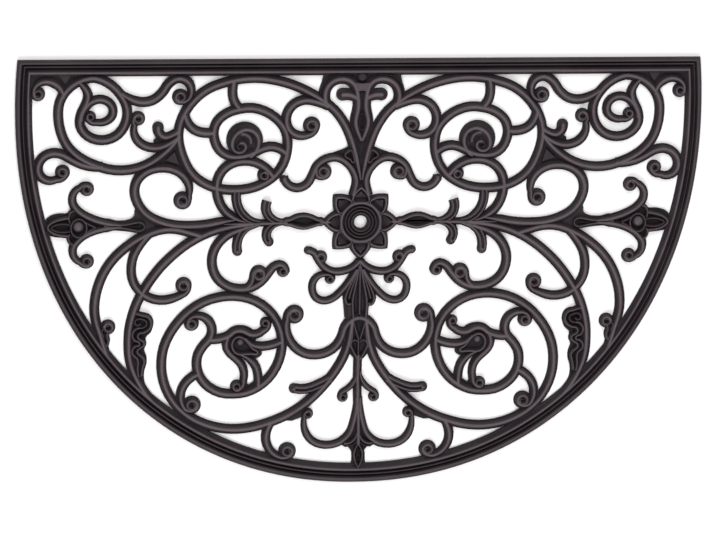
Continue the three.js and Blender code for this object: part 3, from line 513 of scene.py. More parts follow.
# A petal's section from its rim to its raised middle field: height at the tip and how far it falls
# to the base, then distances from the flower's centre and angles off the petal's axis, in degrees,
# of its tip, side, notch and base
PETAL_SECTION = (
    (0.0, 0.0, 42.8, 37.3, 10.6, 31.5, 22.8, 15.0),
    (2.4, 0.0, 42.8, 37.3, 10.6, 31.5, 22.8, 15.0),
    (2.9, 0.0, 42.4, 36.9, 10.6, 31.0, 22.4, 15.3),
    (2.9, 0.0, 41.4, 36.1, 10.6, 30.0, 22.2, 18.6),
    (5.0, 0.0, 40.0, 34.9, 10.6, 28.6, 21.8, 22.3),
    (7.4, 0.0, 38.9, 33.9, 10.6, 27.2, 21.4, 22.9),
    (7.9, 0.0, 38.2, 33.2, 10.5, 26.4, 21.0, 23.2),
    (7.9, 0.0, 37.5, 32.6, 10.3, 26.0, 20.2, 23.4),
    (7.2, 0.0, 36.8, 32.0, 10.0, 25.8, 19.2, 23.7),
    (2.2, 0.0, 35.9, 31.2, 9.4, 26.0, 17.0, 25.4),
    (2.0, 0.0, 35.5, 30.8, 9.0, 26.2, 16.0, 25.8),
    (6.4, 3.8, 35.0, 30.4, 8.6, 26.6, 14.8, 26.4),
    (7.7, 5.2, 33.6, 29.5, 7.6, 27.2, 12.6, 27.2),
)
PETALS = 8
BOW_STEPS = 6
FLOWER_PLACE = (0, 56.7)

# The parts that the mould unites, and the angle from which an edge stays sharp, in degrees
PART_COUNT = 6
CREASE_ANGLE = 42

# The heights over which the rubber's tone goes over from the painted shade of the hollows and
# low rims to the faces, and from the faces to the crests' paler painted highlight, in metres
HOLLOW_SHADE_TO_FACE = (0.0021, 0.0032)
FACE_TO_CREST_HIGHLIGHT = (0.0064, 0.0081)

# How wide the patches of bloom, the uneven rubbing and the slow sway of the faces are, in metres
PATCH_WIDTH = 0.04
RUBBING_WIDTH = 0.004
SWAY_WIDTH = 0.009

# The floor's half width, how far it lies under the mat so that their faces don't coincide, and
# the width and the grey of the uneven patches in its paint
FLOOR_REACH = 4
FLOOR_DROP = 0.0001
FLOOR_PATCH_WIDTH = 0.5
FLOOR_PATCH_COLOUR = "#e7e7e7"

# The soft lights: the width of their square, and their places, in metres
LIGHT_WIDTH = 1.3
KEY_PLACE = (-0.5, -2.2, 2.1)
BACK_PLACE = (0.5, 2.4, 2.1)

# The camera: a long lens on a sensor, both in millimetres, its place and how far it sees in
# metres, and its turns about X, Y and Z in degrees
CAMERA_SENSOR = 36
CAMERA_LENS = 191.06
CAMERA_PLACE = (-0.5002, 0.8490, 4.0431)
CAMERA_REACH = 50
CAMERA_TURN = (-11.832, -6.877, 0.740)


def linear(hex_colour):
    """An sRGB hex colour as linear red, green and blue."""
    channels = (int(hex_colour[i:i + 2], 16) / 255 for i in (1, 3, 5))
    return tuple(c / 12.92 if c <= 0.04045 else ((c + 0.055) / 1.055) ** 2.4 for c in channels)


def colour(name, description, hex_colour):
    """A colour that a user can change, by its sRGB hex value."""
    return FloatVectorProperty(
        name=name, description=description, default=linear(hex_colour), subtype="COLOR", size=3,
        min=0, max=1)


class DoormatSizes(bpy.types.PropertyGroup):
    width: FloatProperty(
        name="Width", description="Length of the border's straight edge; the scrolls keep theirs",
        default=CAD_HIGH[0] - CAD_LOW[0], min=0.3, unit="LENGTH")
    depth: FloatProperty(
        name="Depth", description="From the border's straight edge to its oval's lowest point",
        default=CAD_HIGH[1] - CAD_LOW[1], min=0.2, unit="LENGTH")
    height: FloatProperty(
        name="Height", description="Thickness of the mat at its crests",
        default=CAD_HIGH[2] - CAD_LOW[2], min=0.004, unit="LENGTH")


class DoormatFinish(bpy.types.PropertyGroup):
    # The colour in the hollows is painted shade: nearly black in the hollows and along the low rims
    hollow_shade_colour: colour(
        "Painted shade in the hollows", "Colour painted in the hollows and on the low rims as their shade", "#0c090b")
    face_colour: colour(
        "Rubber on the faces", "Colour of the sloping faces of the strands", "#261e23")
    # The colour on the crests is a painted highlight
    crest_highlight_colour: colour(
        "Painted highlight on the crests", "Paler colour painted on the crests as their highlight", "#594f54")
    bloom_colour: colour(
        "Bloom", "Colour of the faint grey bloom that moulded rubber gets", "#5d5657")
    grain: FloatProperty(
        name="Grain", description="Width of one grain of the mould's blasted surface",
        default=0.0007, min=0.0002, unit="LENGTH")


class DoormatStage(bpy.types.PropertyGroup):
    floor_colour: colour("Floor", "Colour of the plain floor", "#f6f5f4")
    key_power: FloatProperty(
        name="Key light", description="Power of the soft light from the round side",
        default=58.0, min=0, unit="POWER")
    back_power: FloatProperty(
        name="Back light", description="Power of the soft light from the straight side",
        default=45.0, min=0, unit="POWER")
    surround: FloatProperty(
        name="Surround", description="Strength of the even light from all round",
        default=0.75, min=0)


def seen_from(knot, p, q):
    """The angle at which the chord from p to q is seen from a third knot: half the arc's turn."""
    a, b = p - knot, q - knot
    return math.atan2(a.x * b.y - a.y * b.x, a.dot(b))


def arc_point(p, q, bend, t):
    """A point a fraction t along the arc from p to q that leaves the chord at the angle bend."""
    chord = q - p
    reach = t if abs(bend) < STRAIGHT_BEND else math.sin(bend * t) / math.sin(bend)
    turn = -bend * (1 - t)
    cos, sin = math.cos(turn), math.sin(turn)
    return p + Vector((chord.x * cos - chord.y * sin, chord.x * sin + chord.y * cos)) * reach


def smooth(knots, closed=False):
    """Smooth points through the knots: between two knots the bend goes over from the circle
    through the knot before to the circle through the knot after."""
    points = [Vector(knot) for knot in knots]
    count = len(points)
    result = []
    for i in range(count if closed else count - 1):
        p, q = points[i], points[(i + 1) % count]
        bends = []
        if closed or i > 0:
            bends.append(seen_from(points[i - 1], p, q))
        if closed or i + 2 < count:
            bends.append(seen_from(points[(i + 2) % count], p, q))
        bends = bends or [0.0]
        length = (q - p).length
        sagitta = length * math.tan(max(map(abs, bends)) / 2) / 2
        steps = max(1, math.ceil(math.sqrt(sagitta / CHORD_ERROR)),
                    math.ceil(length / LONGEST_STEP))
        for step in range(steps):
            t = step / steps
            result.append(arc_point(p, q, bends[0] + (bends[-1] - bends[0]) * t, t))
    if not closed:
        result.append(points[-1])
    return result


def runs(path):
    """The length of the path up to each of its points."""
    lengths = [0.0]
    for a, b in zip(path, path[1:]):
        lengths.append(lengths[-1] + (b - a).length)
    return lengths


def polar(centre, radius, angle):
    """The point at a distance and an angle from a centre."""
    return Vector((centre[0] + radius * math.cos(angle), centre[1] + radius * math.sin(angle)))


def mirrored(points, side):
    """The points on their own side, or mirrored to the other half for side -1."""
    return [Vector((side * p[0], p[1])) for p in points]


def beside(path, offsets):
    """The path moved to its left, by an offset at each point."""
    result = []
    for i, (point, offset) in enumerate(zip(path, offsets)):
        along = (path[min(i + 1, len(path) - 1)] - path[max(i - 1, 0)]).normalized()
        result.append(point + Vector((-along.y, along.x)) * offset)
    return result


def strand_path(strand):
    """A strand's middle line and its width at each point, with the rolled end where it has one,
    and for an eye the angle where the roll ends and the hand it turns."""
    path = smooth(strand.knots)
    width = strand.width
    root = strand.root or width
    tip = strand.tip or width
    lengths = runs(path)
    widths = []
    for length in lengths:
        near_root = 1 - min(1, length / TAPER_LENGTH)
        near_tip = 1 - min(1, (lengths[-1] - length) / TAPER_LENGTH)
        widths.append(width - (width - root) * near_root - (width - tip) * near_tip)
    if strand.eye is None:
        return path, widths, None
    eye, radius = Vector(strand.eye[:2]), strand.eye[2]
    arm = path[-1] - eye
    heading = path[-1] - path[-2]
    hand = 1 if arm.x * heading.y - arm.y * heading.x > 0 else -1
    start = math.atan2(arm.y, arm.x)
    crest = EYE_CREST[0][1] * radius
    end_width = min(tip * ROLL_END, ROLL_END_LIMIT * crest)
    for step in range(1, ROLL_STEPS + 1):
        turns = step / ROLL_STEPS * (ROLL_TURNS + TAIL_TURNS)
        t = min(1, turns / ROLL_TURNS)
        tail = max(0, turns - ROLL_TURNS) / TAIL_TURNS
        reach = arm.length + (crest - arm.length) * t * (2 - t)
        path.append(polar(eye, reach * (1 - TAIL_CLOSING * tail), start + hand * turns * math.tau))
        widths.append(tip + (end_width - tip) * t)
    return path, widths, (start + hand * ROLL_TURNS * math.tau, hand)


def section_height(share):
    """The section's height as a share, a given share of the half width away from the crest."""
    across, heights = zip(*reversed(SECTION[1:]))
    return np.interp(share, across, heights, right=0.0)


def raised(points, crest, height):
    """How high a crest lifts each of the points: the section's height at its distance. A crest is
    rows of x, y, half width and share of the height."""
    top = np.zeros(len(points))
    for a, b in zip(crest, crest[1:]) if len(crest) > 1 else [(crest[0], crest[0])]:
        along = b[:2] - a[:2]
        length = float(along @ along)
        t = np.clip((points - a[:2]) @ along / length, 0, 1) if length else np.zeros(len(points))
        near = a + t[:, None] * (b - a)
        distance = np.hypot(*(points - near[:, :2]).T)
        top = np.maximum(top, near[:, 3] * height * section_height(distance / near[:, 2]))
    return top


def relief(bm, centre, radius, floor, crests, height, grid):
    """A round boss with an upright rim whose top rises to crest lines from a low floor. The grid
    is how many rings and sectors its top has."""
    rings, sectors = grid
    places = [Vector(centre)]
    for ring in range(1, rings + 1):
        for sector in range(sectors):
            places.append(polar(centre, radius * ring / rings, sector / sectors * math.tau))
    flat = np.array([tuple(p) for p in places])
    top = np.full(len(flat), floor)
    for crest in crests:
        top = np.maximum(top, raised(flat, crest, height))
    verts = [bm.verts.new((p.x * MM, p.y * MM, z * MM)) for p, z in zip(places, top)]
    foot = [bm.verts.new((p.x * MM, p.y * MM, 0)) for p in places[-sectors:]]
    for k in range(sectors):
        n = (k + 1) % sectors
        bm.faces.new((verts[0], verts[1 + k], verts[1 + n]))
        for ring in range(1, rings):
            a, b = 1 + (ring - 1) * sectors, 1 + ring * sectors
            bm.faces.new((verts[a + k], verts[b + k], verts[b + n], verts[a + n]))
        a = 1 + (rings - 1) * sectors
        bm.faces.new((verts[a + k], foot[k], foot[n], verts[a + n]))
    bm.faces.new(foot)


def loft(bm, rings, ring_round=False):
    """A closed skin over rings of equally many points in millimetres, with flat ends, or joined
    from its last ring to its first."""
    rows = [[bm.verts.new((x * MM, y * MM, z * MM)) for x, y, z in ring] for ring in rings]
    pairs = list(zip(rows, rows[1:]))
    if ring_round:
        pairs.append((rows[-1], rows[0]))
    for low, high in pairs:
        for k in range(len(low)):
            n = (k + 1) % len(low)
            bm.faces.new((low[k], low[n], high[n], high[k]))
    if not ring_round:
        bm.faces.new(rows[0])
        bm.faces.new(rows[-1])


def turned(centre, section, steps):
    """The rings of a section that is turned about an upright axis: rows of radius and height."""
    return [
        [(*polar(centre, radius, k / steps * math.tau), z) for k in range(steps)]
        for radius, z in section
    ]


def flat_plate(bm, outline, height):
    """An upright-sided plate from the floor up to a height."""
    loft(bm, [[(p[0], p[1], z) for p in outline] for z in (0.0, height)])


def half_oval(sizes, at_top, at_sides, at_bottom):
    """The mat's outline, a flattened oval cut off at the straight edge, moved in by a distance at
    the straight edge, at the sides and at the lowest point."""
    depth = sizes.depth / MM
    half_width = sizes.width / MM / 2 - at_sides
    reach = WIDEST_FROM_BOTTOM - at_bottom
    middle = WIDEST_FROM_BOTTOM - depth / 2
    power = 2 / OVAL_EXPONENT
    start = math.asin(((depth / 2 - at_top - middle) / reach) ** (1 / power))
    outline = []
    for i in range(OUTLINE_STEPS + 1):
        angle = math.pi - start + i / OUTLINE_STEPS * (math.pi + 2 * start)
        across, along = math.cos(angle), math.sin(angle)
        outline.append((
            math.copysign(half_width * abs(across) ** power, across),
            middle + math.copysign(reach * abs(along) ** power, along)))
    return outline


def add(tree, kind, links=None, values=None, **settings):
    """Adds a node with its settings, its input values and its links from other nodes' outputs."""
    node = tree.nodes.new(kind)
    for name, value in settings.items():
        setattr(node, name, value)
    for name, value in (values or {}).items():
        node.inputs[name].default_value = value
    for name, socket in (links or {}).items():
        tree.links.new(socket, node.inputs[name])
    return node


def new_object(name, data):
    """A new object in the scene."""
    obj = bpy.data.objects.new(name, data)
    bpy.context.scene.collection.objects.link(obj)
    return obj


def mesh_object(name, bm):
    """The bmesh as an object; the bmesh itself is freed."""
    mesh = bpy.data.meshes.new(name)
    bm.to_mesh(mesh)
    bm.free()
    return new_object(name, mesh)


def part(name, bm):
    """Closed parts of the mat as an object, with their faces turned outwards."""
    bmesh.ops.recalc_face_normals(bm, faces=bm.faces)
    return mesh_object(name, bm)


def frozen(obj, group, inputs):
    """Runs a node group on the object with the given named inputs and keeps the plain mesh."""
    modifier = obj.modifiers.new(group.name, "NODES")
    modifier.node_group = group
    for item in group.interface.items_tree:
        if item.in_out == "INPUT" and item.name in inputs:
            modifier[item.identifier] = inputs[item.name]
    depsgraph = bpy.context.evaluated_depsgraph_get()
    mesh = bpy.data.meshes.new_from_object(obj.evaluated_get(depsgraph), depsgraph=depsgraph)
    obj.modifiers.remove(modifier)
    old, obj.data = obj.data, mesh
    bpy.data.meshes.remove(old)
    mesh.name = obj.name
    return obj


def node_group(name, inputs, output):
    """A new node group with its named inputs and its one output, and what its inputs give."""
    group = bpy.data.node_groups.new(name, "GeometryNodeTree")
    for label, kind in inputs.items():
        group.interface.new_socket(label, in_out="INPUT", socket_type="NodeSocket" + kind)
    group.interface.new_socket(output, in_out="OUTPUT", socket_type="NodeSocketGeometry")
    return group, group.nodes.new("NodeGroupInput").outputs


def ridge_group():
    """The node group that sweeps the strand's section along every path of a wire mesh. Each point
    carries its half width and its height as attributes; the section hangs on the path's left
    normal, so its height is scaled apart from its width."""
    group, given = node_group("Ridge along a path", {
        "Paths": "Geometry", "Section": "Object", "Height": "Float", "Material": "Material"},
        "Ridges")
    half_width = add(group, "GeometryNodeInputNamedAttribute", data_type="FLOAT",
                     values={"Name": "half_width"}).outputs["Attribute"]
    share = add(group, "GeometryNodeInputNamedAttribute", data_type="FLOAT",
                values={"Name": "height_share"}).outputs["Attribute"]
    section = add(group, "GeometryNodeObjectInfo", {"Object": given["Section"]})
    curve = add(group, "GeometryNodeMeshToCurve", {"Mesh": given["Paths"]})
    upright = add(group, "GeometryNodeSetCurveNormal", {"Curve": curve.outputs[0]}, mode="Z_UP")
    swept = add(group, "GeometryNodeCurveToMesh", {
        "Curve": upright.outputs[0], "Profile Curve": section.outputs["Geometry"],
        "Scale": half_width}, {"Fill Caps": True})
    place = add(group, "GeometryNodeInputPosition")
    axes = add(group, "ShaderNodeSeparateXYZ", {"Vector": place.outputs[0]})
    unit = add(group, "ShaderNodeMath", {0: axes.outputs["Z"], 1: half_width}, operation="DIVIDE")
    full = add(group, "ShaderNodeMath", {0: unit.outputs[0], 1: given["Height"]},
               operation="MULTIPLY")
    lift = add(group, "ShaderNodeMath", {0: full.outputs[0], 1: share}, operation="MULTIPLY")
    moved = add(group, "ShaderNodeCombineXYZ", {"X": axes.outputs["X"], "Y": axes.outputs["Y"],
                                                "Z": lift.outputs[0]})
    raised_mesh = add(group, "GeometryNodeSetPosition",
                      {"Geometry": swept.outputs[0], "Position": moved.outputs[0]})
    real = add(group, "GeometryNodeRealizeInstances", {"Geometry": raised_mesh.outputs[0]})
    done = add(group, "GeometryNodeSetMaterial",
               {"Geometry": real.outputs[0], "Material": given["Material"]})
    add(group, "NodeGroupOutput", {0: done.outputs[0]})
    return group


def moulding_group():
    """The node group that unites every loose part of a mesh into the one body of the mat."""
    group, given = node_group(
        "Moulded in one", {"Parts": "Geometry", "Material": "Material"}, "Mat")
    island = add(group, "GeometryNodeInputMeshIsland")
    apart = add(group, "GeometryNodeSplitToInstances",
                {"Geometry": given["Parts"], "Group ID": island.outputs["Island Index"]},
                domain="POINT")
    united = add(group, "GeometryNodeMeshBoolean", {"Mesh 2": apart.outputs["Instances"]},
                 operation="UNION", solver="MANIFOLD")
    real = add(group, "GeometryNodeRealizeInstances", {"Geometry": united.outputs["Mesh"]})
    done = add(group, "GeometryNodeSetMaterial",
               {"Geometry": real.outputs[0], "Material": given["Material"]})
    add(group, "NodeGroupOutput", {0: done.outputs[0]})
    return group


def section_object():
    """The strand's whole section as a closed flat curve. Y points down, because the sweep's
    second axis does."""
    half = [(across, -up) for across, up in SECTION]
    points = [(-across, up) for across, up in half] + half[-2::-1]
    curve = bpy.data.curves.new("strand section", "CURVE")
    curve.fill_mode = "NONE"
    spline = curve.splines.new("POLY")
    spline.points.add(len(points) - 1)
    for point, (x, y) in zip(spline.points, points):
        point.co = (x, y, 0, 1)
    spline.use_cyclic_u = True
    return new_object("strand_section", curve)


def ridges(name, rows, sizes):
    """Ridges along paths, as an object: rows of path, widths, height and whether it is closed."""
    verts, edges, half_widths, shares = [], [], [], []
    for path, widths, height, closed in rows:
        first = len(verts)
        verts += [(p.x * MM, p.y * MM, 0) for p in path]
        edges += [(first + k, first + k + 1) for k in range(len(path) - 1)]
        if closed:
            edges.append((first + len(path) - 1, first))
        half_widths += [width / 2 * MM for width in widths]
        shares += [height * MM / sizes.height] * len(path)
    mesh = bpy.data.meshes.new(name)
    mesh.from_pydata(verts, edges, [])
    for attribute, values in (("half_width", half_widths), ("height_share", shares)):
        mesh.attributes.new(attribute, "FLOAT", "POINT").data.foreach_set("value", values)
    section = section_object()
    obj = frozen(new_object(name, mesh), ridge_group(),
                 {"Section": section, "Height": sizes.height})
    bpy.data.objects.remove(section)
    return obj


class MESH_OT_doormat_border(bpy.types.Operator):
    """Make the border: a grooved band all round, mitred at the two corners"""
    bl_idname = "mesh.doormat_border"
    bl_label = "Border"

    def execute(self, context):
        sizes = context.scene.doormat_sizes
        height = sizes.height / MM
        bm = bmesh.new()
        loft(bm, [
            [(x, y, share * height) for x, y in half_oval(sizes, *insets)]
            for *insets, share in BORDER_SECTION
        ], ring_round=True)
        part("part_border", bm)
        return {"FINISHED"}


class MESH_OT_doormat_scrolls(bpy.types.Operator):
    """Make the scrolls: strands with a rounded crest that roll up in eyes"""
    bl_idname = "mesh.doormat_scrolls"
    bl_label = "Scrolls"

    def execute(self, context):
        sizes = context.scene.doormat_sizes
        height = sizes.height / MM
        rows = []
        spirals = list(SPIRALS)
        for strand in STRANDS:
            path, widths, eye = strand_path(strand)
            lines = [(path, widths, height)]
            if strand.name in LEAVES:
                lines = self.leaf_lines(path, widths, height)
            for side in BOTH_SIDES:
                rows += [(mirrored(line, side), across, top, False) for line, across, top in lines]
            if eye:
                spirals.append(Spiral(strand.name, *strand.eye, math.degrees(eye[0]), eye[1]))
        ridges("part_scrolls", rows, sizes)
        bm = bmesh.new()
        for spiral in spirals:
            crest = self.winding_crest(spiral)
            for side in BOTH_SIDES:
                relief(bm, (side * spiral.x, spiral.y), spiral.radius, EYE_FLOOR,
                       [crest * (side, 1, 1, 1)], height, EYE_GRID)
        for boss in ROUND_ENDS:
            for side in BOTH_SIDES:
                crest = np.array([(side * boss.x, boss.y, boss.radius, 1.0)])
                relief(bm, (side * boss.x, boss.y), boss.radius, ROUND_END_FLOOR, [crest], height,
                       ROUND_END_GRID)
        part("part_eyes", bm)
        return {"FINISHED"}

    def leaf_lines(self, path, widths, height):
        """The blade of a leaf and its two crests: rows of line, widths and height."""
        crest_widths = [LEAF_CREST_WIDTH * width for width in widths]
        return [(path, widths, LEAF_BLADE_HEIGHT)] + [
            (beside(path, [place * width for width in widths]), crest_widths, height)
            for place in (LEAF_CREST_PLACE, -LEAF_CREST_PLACE)
        ]

    def winding_crest(self, spiral):
        """The crest that winds in on an eye: rows of x, y, half width and share of the height."""
        columns = list(zip(*EYE_CREST))
        crest = []
        for step in range(EYE_CREST_STEPS + 1):
            at = columns[0][-1] * step / EYE_CREST_STEPS
            turns, reach, half, share = (np.interp(at, columns[0], column) for column in columns)
            angle = math.radians(spiral.start) + spiral.hand * turns * math.tau
            place = polar((spiral.x, spiral.y), reach * spiral.radius, angle)
            crest.append((*place, half * spiral.radius, share))
        return np.array(crest)


class MESH_OT_doormat_flower(bpy.types.Operator):
    """Make the flower: eight pointed petals round a ringed boss with a hole"""
    bl_idname = "mesh.doormat_flower"
    bl_label = "Flower"

    def execute(self, context):
        bm = bmesh.new()
        loft(bm, turned(FLOWER_PLACE, RING_SECTION, RING_STEPS), ring_round=True)
        for petal in range(PETALS):
            axis = petal / PETALS * math.tau
            loft(bm, [self.petal_ring(axis, *row) for row in PETAL_SECTION])
        part("part_flower", bm)
        return {"FINISHED"}

    def petal_ring(self, axis, top, fall, tip, side, side_turn, notch, notch_turn, base):
        """One ring of a petal: from its base over the bowed side to its tip, and back. The bow is
        the parabola through the notch, the side and the tip."""
        first = polar((0, 0), notch, math.radians(notch_turn))
        middle = polar((0, 0), side, math.radians(side_turn))
        last = Vector((tip, 0))
        half = [polar((0, 0), base, math.radians(notch_turn))]
        for step in range(BOW_STEPS + 1):
            t = step / BOW_STEPS
            half.append(first * (1 - t) * (1 - 2 * t) + middle * 4 * t * (1 - t)
                        + last * t * (2 * t - 1))
        ring = half + [Vector((p.x, -p.y)) for p in reversed(half[:-1])]
        cos, sin = math.cos(axis), math.sin(axis)
        return [(FLOWER_PLACE[0] + p.x * cos - p.y * sin, FLOWER_PLACE[1] + p.x * sin + p.y * cos,
                 top - fall * (tip - p.x) / (tip - half[0].x)) for p in ring]


class MESH_OT_doormat_carvings(bpy.types.Operator):
    """Make the ribbed, coiled and knotted places and the thin webs between the strands"""
    bl_idname = "mesh.doormat_carvings"
    bl_label = "Ribs, coils and webs"

    def execute(self, context):
        sizes = context.scene.doormat_sizes
        height = sizes.height / MM
        rows = []
        for rib in RIBS + MIDDLE_RIBS:
            path = smooth(rib.knots, rib.closed)
            for side in BOTH_SIDES if rib in RIBS else BOTH_SIDES[:1]:
                rows.append((mirrored(path, side), [rib.width] * len(path), rib.height, rib.closed))
        ridges("part_ribs", rows, sizes)
        bm = bmesh.new()
        for plate in PLATES:
            outline = smooth(plate.knots, True) if plate.smooth else plate.knots
            for side in BOTH_SIDES:
                flat_plate(bm, mirrored(outline, side), plate.height)
        for plate in SINGLE_PLATES:
            flat_plate(bm, plate.knots, plate.height)
        for place in RELIEFS:
            for side in BOTH_SIDES:
                crests = [
                    np.array([(*point, half_width, top / height)
                              for point in mirrored(smooth(knots), side)])
                    for half_width, top, knots in place.crests
                ]
                relief(bm, (side * place.x, place.y), place.radius, place.floor, crests, height,
                       COIL_GRID)
        for side in BOTH_SIDES:
            for dome in DOMES:
                self.dome(bm, dome, side)
        self.dome(bm, POCKET_DOME)
        part("part_carvings", bm)
        return {"FINISHED"}

    def dome(self, bm, dome, side=1):
        """A round dome on one side of the middle line."""
        section = [(DOME_FLAT, dome.top), *dome.section]
        loft(bm, turned((side * dome.x, dome.y), section, DOME_STEPS))


def new_material(name):
    """A new material and its empty node tree."""
    material = bpy.data.materials.new(name)
    material.use_nodes = True
    material.node_tree.nodes.clear()
    return material, material.node_tree


def rubber_material(finish):
    """Moulded rubber, filled with carbon black: satin, with a fine blasted grain from the mould.
    Painted shade darkens the hollows and low rims, a painted highlight makes the crests paler,
    rubbing makes them smoother, and a faint grey bloom lies in patches."""
    material, tree = new_material("moulded_rubber")
    place = add(tree, "ShaderNodeTexCoord").outputs["Object"]
    axes = add(tree, "ShaderNodeSeparateXYZ", {"Vector": place})
    # The grey bloom lies in broad patches, and the crests' painted highlight and rubbing vary over
    # a few millimetres
    patches = add(tree, "ShaderNodeTexNoise", {"Vector": place},
                  {"Scale": 1 / PATCH_WIDTH, "Detail": 4.0, "Roughness": 0.6})
    mottle = add(tree, "ShaderNodeTexNoise", {"Vector": place},
                 {"Scale": 1 / RUBBING_WIDTH, "Detail": 3.0, "Roughness": 0.6})
    # The tone follows the height: painted shade makes the hollows and low rims nearly black, the
    # faces are dark, and a painted highlight makes the crests paler
    # Painted shade: under this height the tone goes over to the nearly black colour of the hollows
    faces = add(tree, "ShaderNodeMapRange", {"Value": axes.outputs["Z"]},
                dict(zip(("From Min", "From Max"), HOLLOW_SHADE_TO_FACE)),
                interpolation_type="SMOOTHSTEP")
    # How far up towards the crests a point lies: this sets the painted highlight and the smoothness
    # from rubbing
    crest_rise = add(tree, "ShaderNodeMapRange", {"Value": axes.outputs["Z"]},
                 dict(zip(("From Min", "From Max"), FACE_TO_CREST_HIGHLIGHT)))
    uneven = add(tree, "ShaderNodeMapRange", {"Value": mottle.outputs["Fac"]},
                 {"From Min": 0.3, "From Max": 0.7, "To Min": 0.75, "To Max": 1.0})
    highlight_and_rubbing = add(tree, "ShaderNodeMath", {0: crest_rise.outputs[0], 1: uneven.outputs[0]},
               operation="MULTIPLY")
    # Painted shade in the hollows and on the low rims
    lower = add(tree, "ShaderNodeMix", {0: faces.outputs[0]},
                {6: (*finish.hollow_shade_colour, 1), 7: (*finish.face_colour, 1)}, data_type="RGBA")
    # Painted highlight on the crests
    tone = add(tree, "ShaderNodeMix", {0: highlight_and_rubbing.outputs[0], 6: lower.outputs[2]},
               {7: (*finish.crest_highlight_colour, 1)}, data_type="RGBA")
    film = add(tree, "ShaderNodeMapRange", {"Value": patches.outputs["Fac"]},
               {"From Min": 0.42, "From Max": 0.75, "To Max": 0.12})
    bloomed = add(tree, "ShaderNodeMix", {0: film.outputs[0], 6: tone.outputs[2]},
                  {7: (*finish.bloom_colour, 1)}, data_type="RGBA")
    # Blasted steel leaves the rubber between silk and satin; rubbing smooths the crests
    dullness = add(tree, "ShaderNodeMapRange", {"Value": highlight_and_rubbing.outputs[0]},
                   {"To Min": 0.62, "To Max": 0.42})
    speckle = add(tree, "ShaderNodeMath", {0: mottle.outputs["Fac"], 2: dullness.outputs[0]},
                  {1: 0.12}, operation="MULTIPLY_ADD")
    # The grain is about a tenth of a millimetre deep, on faces that sway slowly, as moulded
    # rubber does. A real blasted grain is some 0.15 mm wide, too fine to show in the render, so
    # it is drawn several times as coarse.
    grain = add(tree, "ShaderNodeTexNoise", {"Vector": place},
                {"Scale": 1 / finish.grain, "Detail": 2.0})
    sway = add(tree, "ShaderNodeTexNoise", {"Vector": place},
               {"Scale": 1 / SWAY_WIDTH, "Detail": 2.0})
    soft = add(tree, "ShaderNodeBump", {"Height": sway.outputs["Fac"]},
               {"Strength": 0.5, "Distance": 0.0006})
    bump = add(tree, "ShaderNodeBump", {"Height": grain.outputs["Fac"], "Normal": soft.outputs[0]},
               {"Strength": 0.35, "Distance": 0.00012})
    # Rubber's index is about 1.52, and the carbon black keeps its gloss low
    shader = add(tree, "ShaderNodeBsdfPrincipled", {
        "Base Color": bloomed.outputs[2], "Roughness": speckle.outputs[0],
        "Normal": bump.outputs[0]}, {"IOR": 1.52, "Specular IOR Level": 0.25})
    add(tree, "ShaderNodeOutputMaterial", {"Surface": shader.outputs[0]})
    return material


def floor_material(stage):
    """A plain painted studio floor: matt and pale, a little uneven so that it isn't dead flat."""
    material, tree = new_material("painted_studio_floor")
    place = add(tree, "ShaderNodeTexCoord").outputs["Object"]
    cloud = add(tree, "ShaderNodeTexNoise", {"Vector": place},
                {"Scale": 1 / FLOOR_PATCH_WIDTH, "Detail": 2.0})
    share = add(tree, "ShaderNodeMapRange", {"Value": cloud.outputs["Fac"]}, {"To Max": 0.03})
    paint = add(tree, "ShaderNodeMix", {0: share.outputs[0]},
                {6: (*stage.floor_colour, 1), 7: (*linear(FLOOR_PATCH_COLOUR), 1)},
                data_type="RGBA")
    shader = add(tree, "ShaderNodeBsdfPrincipled", {"Base Color": paint.outputs[2]},
                 {"Roughness": 0.9})
    add(tree, "ShaderNodeOutputMaterial", {"Surface": shader.outputs[0]})
    return material


class MESH_OT_doormat_mould(bpy.types.Operator):
    """Unite every part into the one moulded body, and give it its rubber"""
    bl_idname = "mesh.doormat_mould"
    bl_label = "Mould in one piece"

    def execute(self, context):
        parts = [obj for obj in bpy.data.objects if obj.name.startswith("part_")]
        if len(parts) != PART_COUNT:
            raise RuntimeError(f"the mould needs {PART_COUNT} parts, and there are {len(parts)}")
        bm = bmesh.new()
        for obj in parts:
            bm.from_mesh(obj.data)
            bpy.data.objects.remove(obj)
        mat = mesh_object("openwork_doormat", bm)
        material = rubber_material(context.scene.doormat_finish)
        frozen(mat, moulding_group(), {"Material": material})
        self.check_and_shade(mat)
        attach(mat, "root")
        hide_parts("openwork_mat")
        return {"FINISHED"}

    def check_and_shade(self, mat):
        """Checks that the union is closed, and shades its faces smooth up to the crease angle. Its
        points aren't merged, because the union's slivers would then open."""
        bm = bmesh.new()
        bm.from_mesh(mat.data)
        triangles = sum(len(face.verts) - 2 for face in bm.faces)
        loose = sum(1 for edge in bm.edges if not edge.is_manifold)
        print(f"doormat: {triangles} triangles, {loose} open edges")
        bm.free()
        if loose:
            raise RuntimeError(f"the moulded mat has {loose} open edges")
        mat.data.shade_smooth()
        mat.data.set_sharp_from_angle(angle=math.radians(CREASE_ANGLE))


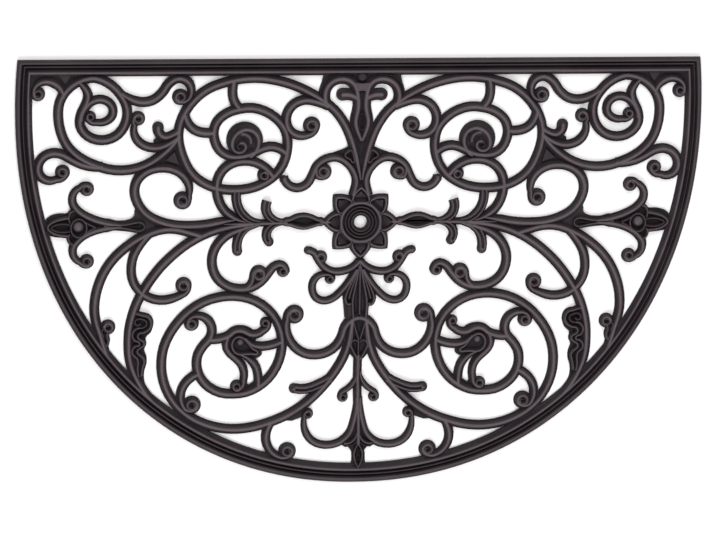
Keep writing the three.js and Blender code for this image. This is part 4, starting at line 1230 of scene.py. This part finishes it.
class MESH_OT_doormat_stage(bpy.types.Operator):
    """Make the floor, the soft studio light and the camera"""
    bl_idname = "mesh.doormat_stage"
    bl_label = "Stage"

    def execute(self, context):
        scene = context.scene
        stage = scene.doormat_stage
        mesh = bpy.data.meshes.new("studio_floor")
        corners = ((-1, -1), (1, -1), (1, 1), (-1, 1))
        mesh.from_pydata([(x * FLOOR_REACH, y * FLOOR_REACH, -FLOOR_DROP) for x, y in corners], [],
                         [(0, 1, 2, 3)])
        mesh.materials.append(floor_material(stage))
        new_object("studio_floor", mesh)
        self.light("key_light", stage.key_power, KEY_PLACE)
        self.light("back_light", stage.back_power, BACK_PLACE)
        world = bpy.data.worlds.new("studio")
        world.use_nodes = True
        background = world.node_tree.nodes["Background"]
        background.inputs["Color"].default_value = (1, 1, 1, 1)
        background.inputs["Strength"].default_value = stage.surround
        scene.world = world
        scene.view_settings.view_transform = "Standard"
        camera = bpy.data.cameras.new("camera")
        camera.sensor_width = CAMERA_SENSOR
        camera.lens = CAMERA_LENS
        camera.clip_end = CAMERA_REACH
        scene.camera = new_object("camera", camera)
        scene.camera.location = CAMERA_PLACE
        scene.camera.rotation_euler = [math.radians(angle) for angle in CAMERA_TURN]
        return {"FINISHED"}

    def light(self, name, power, place):
        """A square area light that looks at the middle of the mat."""
        data = bpy.data.lights.new(name, "AREA")
        data.energy = power
        data.size = LIGHT_WIDTH
        lamp = new_object(name, data)
        lamp.location = place
        lamp.rotation_euler = (-Vector(place)).to_track_quat("-Z", "Y").to_euler()


OPERATORS = (
    MESH_OT_doormat_border, MESH_OT_doormat_scrolls, MESH_OT_doormat_flower,
    MESH_OT_doormat_carvings, MESH_OT_doormat_mould, MESH_OT_doormat_stage,
)


class VIEW3D_PT_doormat(bpy.types.Panel):
    """The doormat's steps and sizes"""
    bl_idname = "VIEW3D_PT_doormat"
    bl_label = "Openwork doormat"
    bl_space_type = "VIEW_3D"
    bl_region_type = "UI"
    bl_category = "Doormat"

    def draw(self, context):
        layout = self.layout
        for group in (context.scene.doormat_sizes, context.scene.doormat_finish,
                      context.scene.doormat_stage):
            box = layout.box()
            for name in group.__annotations__:
                box.prop(group, name)
        for operator in OPERATORS:
            layout.operator(operator.bl_idname)


CLASSES = (DoormatSizes, DoormatFinish, DoormatStage, *OPERATORS, VIEW3D_PT_doormat)


def register():
    for cls in CLASSES:
        bpy.utils.register_class(cls)
    bpy.types.Scene.doormat_sizes = PointerProperty(type=DoormatSizes)
    bpy.types.Scene.doormat_finish = PointerProperty(type=DoormatFinish)
    bpy.types.Scene.doormat_stage = PointerProperty(type=DoormatStage)


def unregister():
    del bpy.types.Scene.doormat_stage
    del bpy.types.Scene.doormat_finish
    del bpy.types.Scene.doormat_sizes
    for cls in reversed(CLASSES):
        bpy.utils.unregister_class(cls)


def main():
    register()
    bpy.ops.mesh.doormat_border()
    bpy.ops.mesh.doormat_scrolls()
    bpy.ops.mesh.doormat_flower()
    bpy.ops.mesh.doormat_carvings()
    bpy.ops.mesh.doormat_mould()
    bpy.ops.mesh.doormat_stage()


if __name__ == "__main__":
    main()
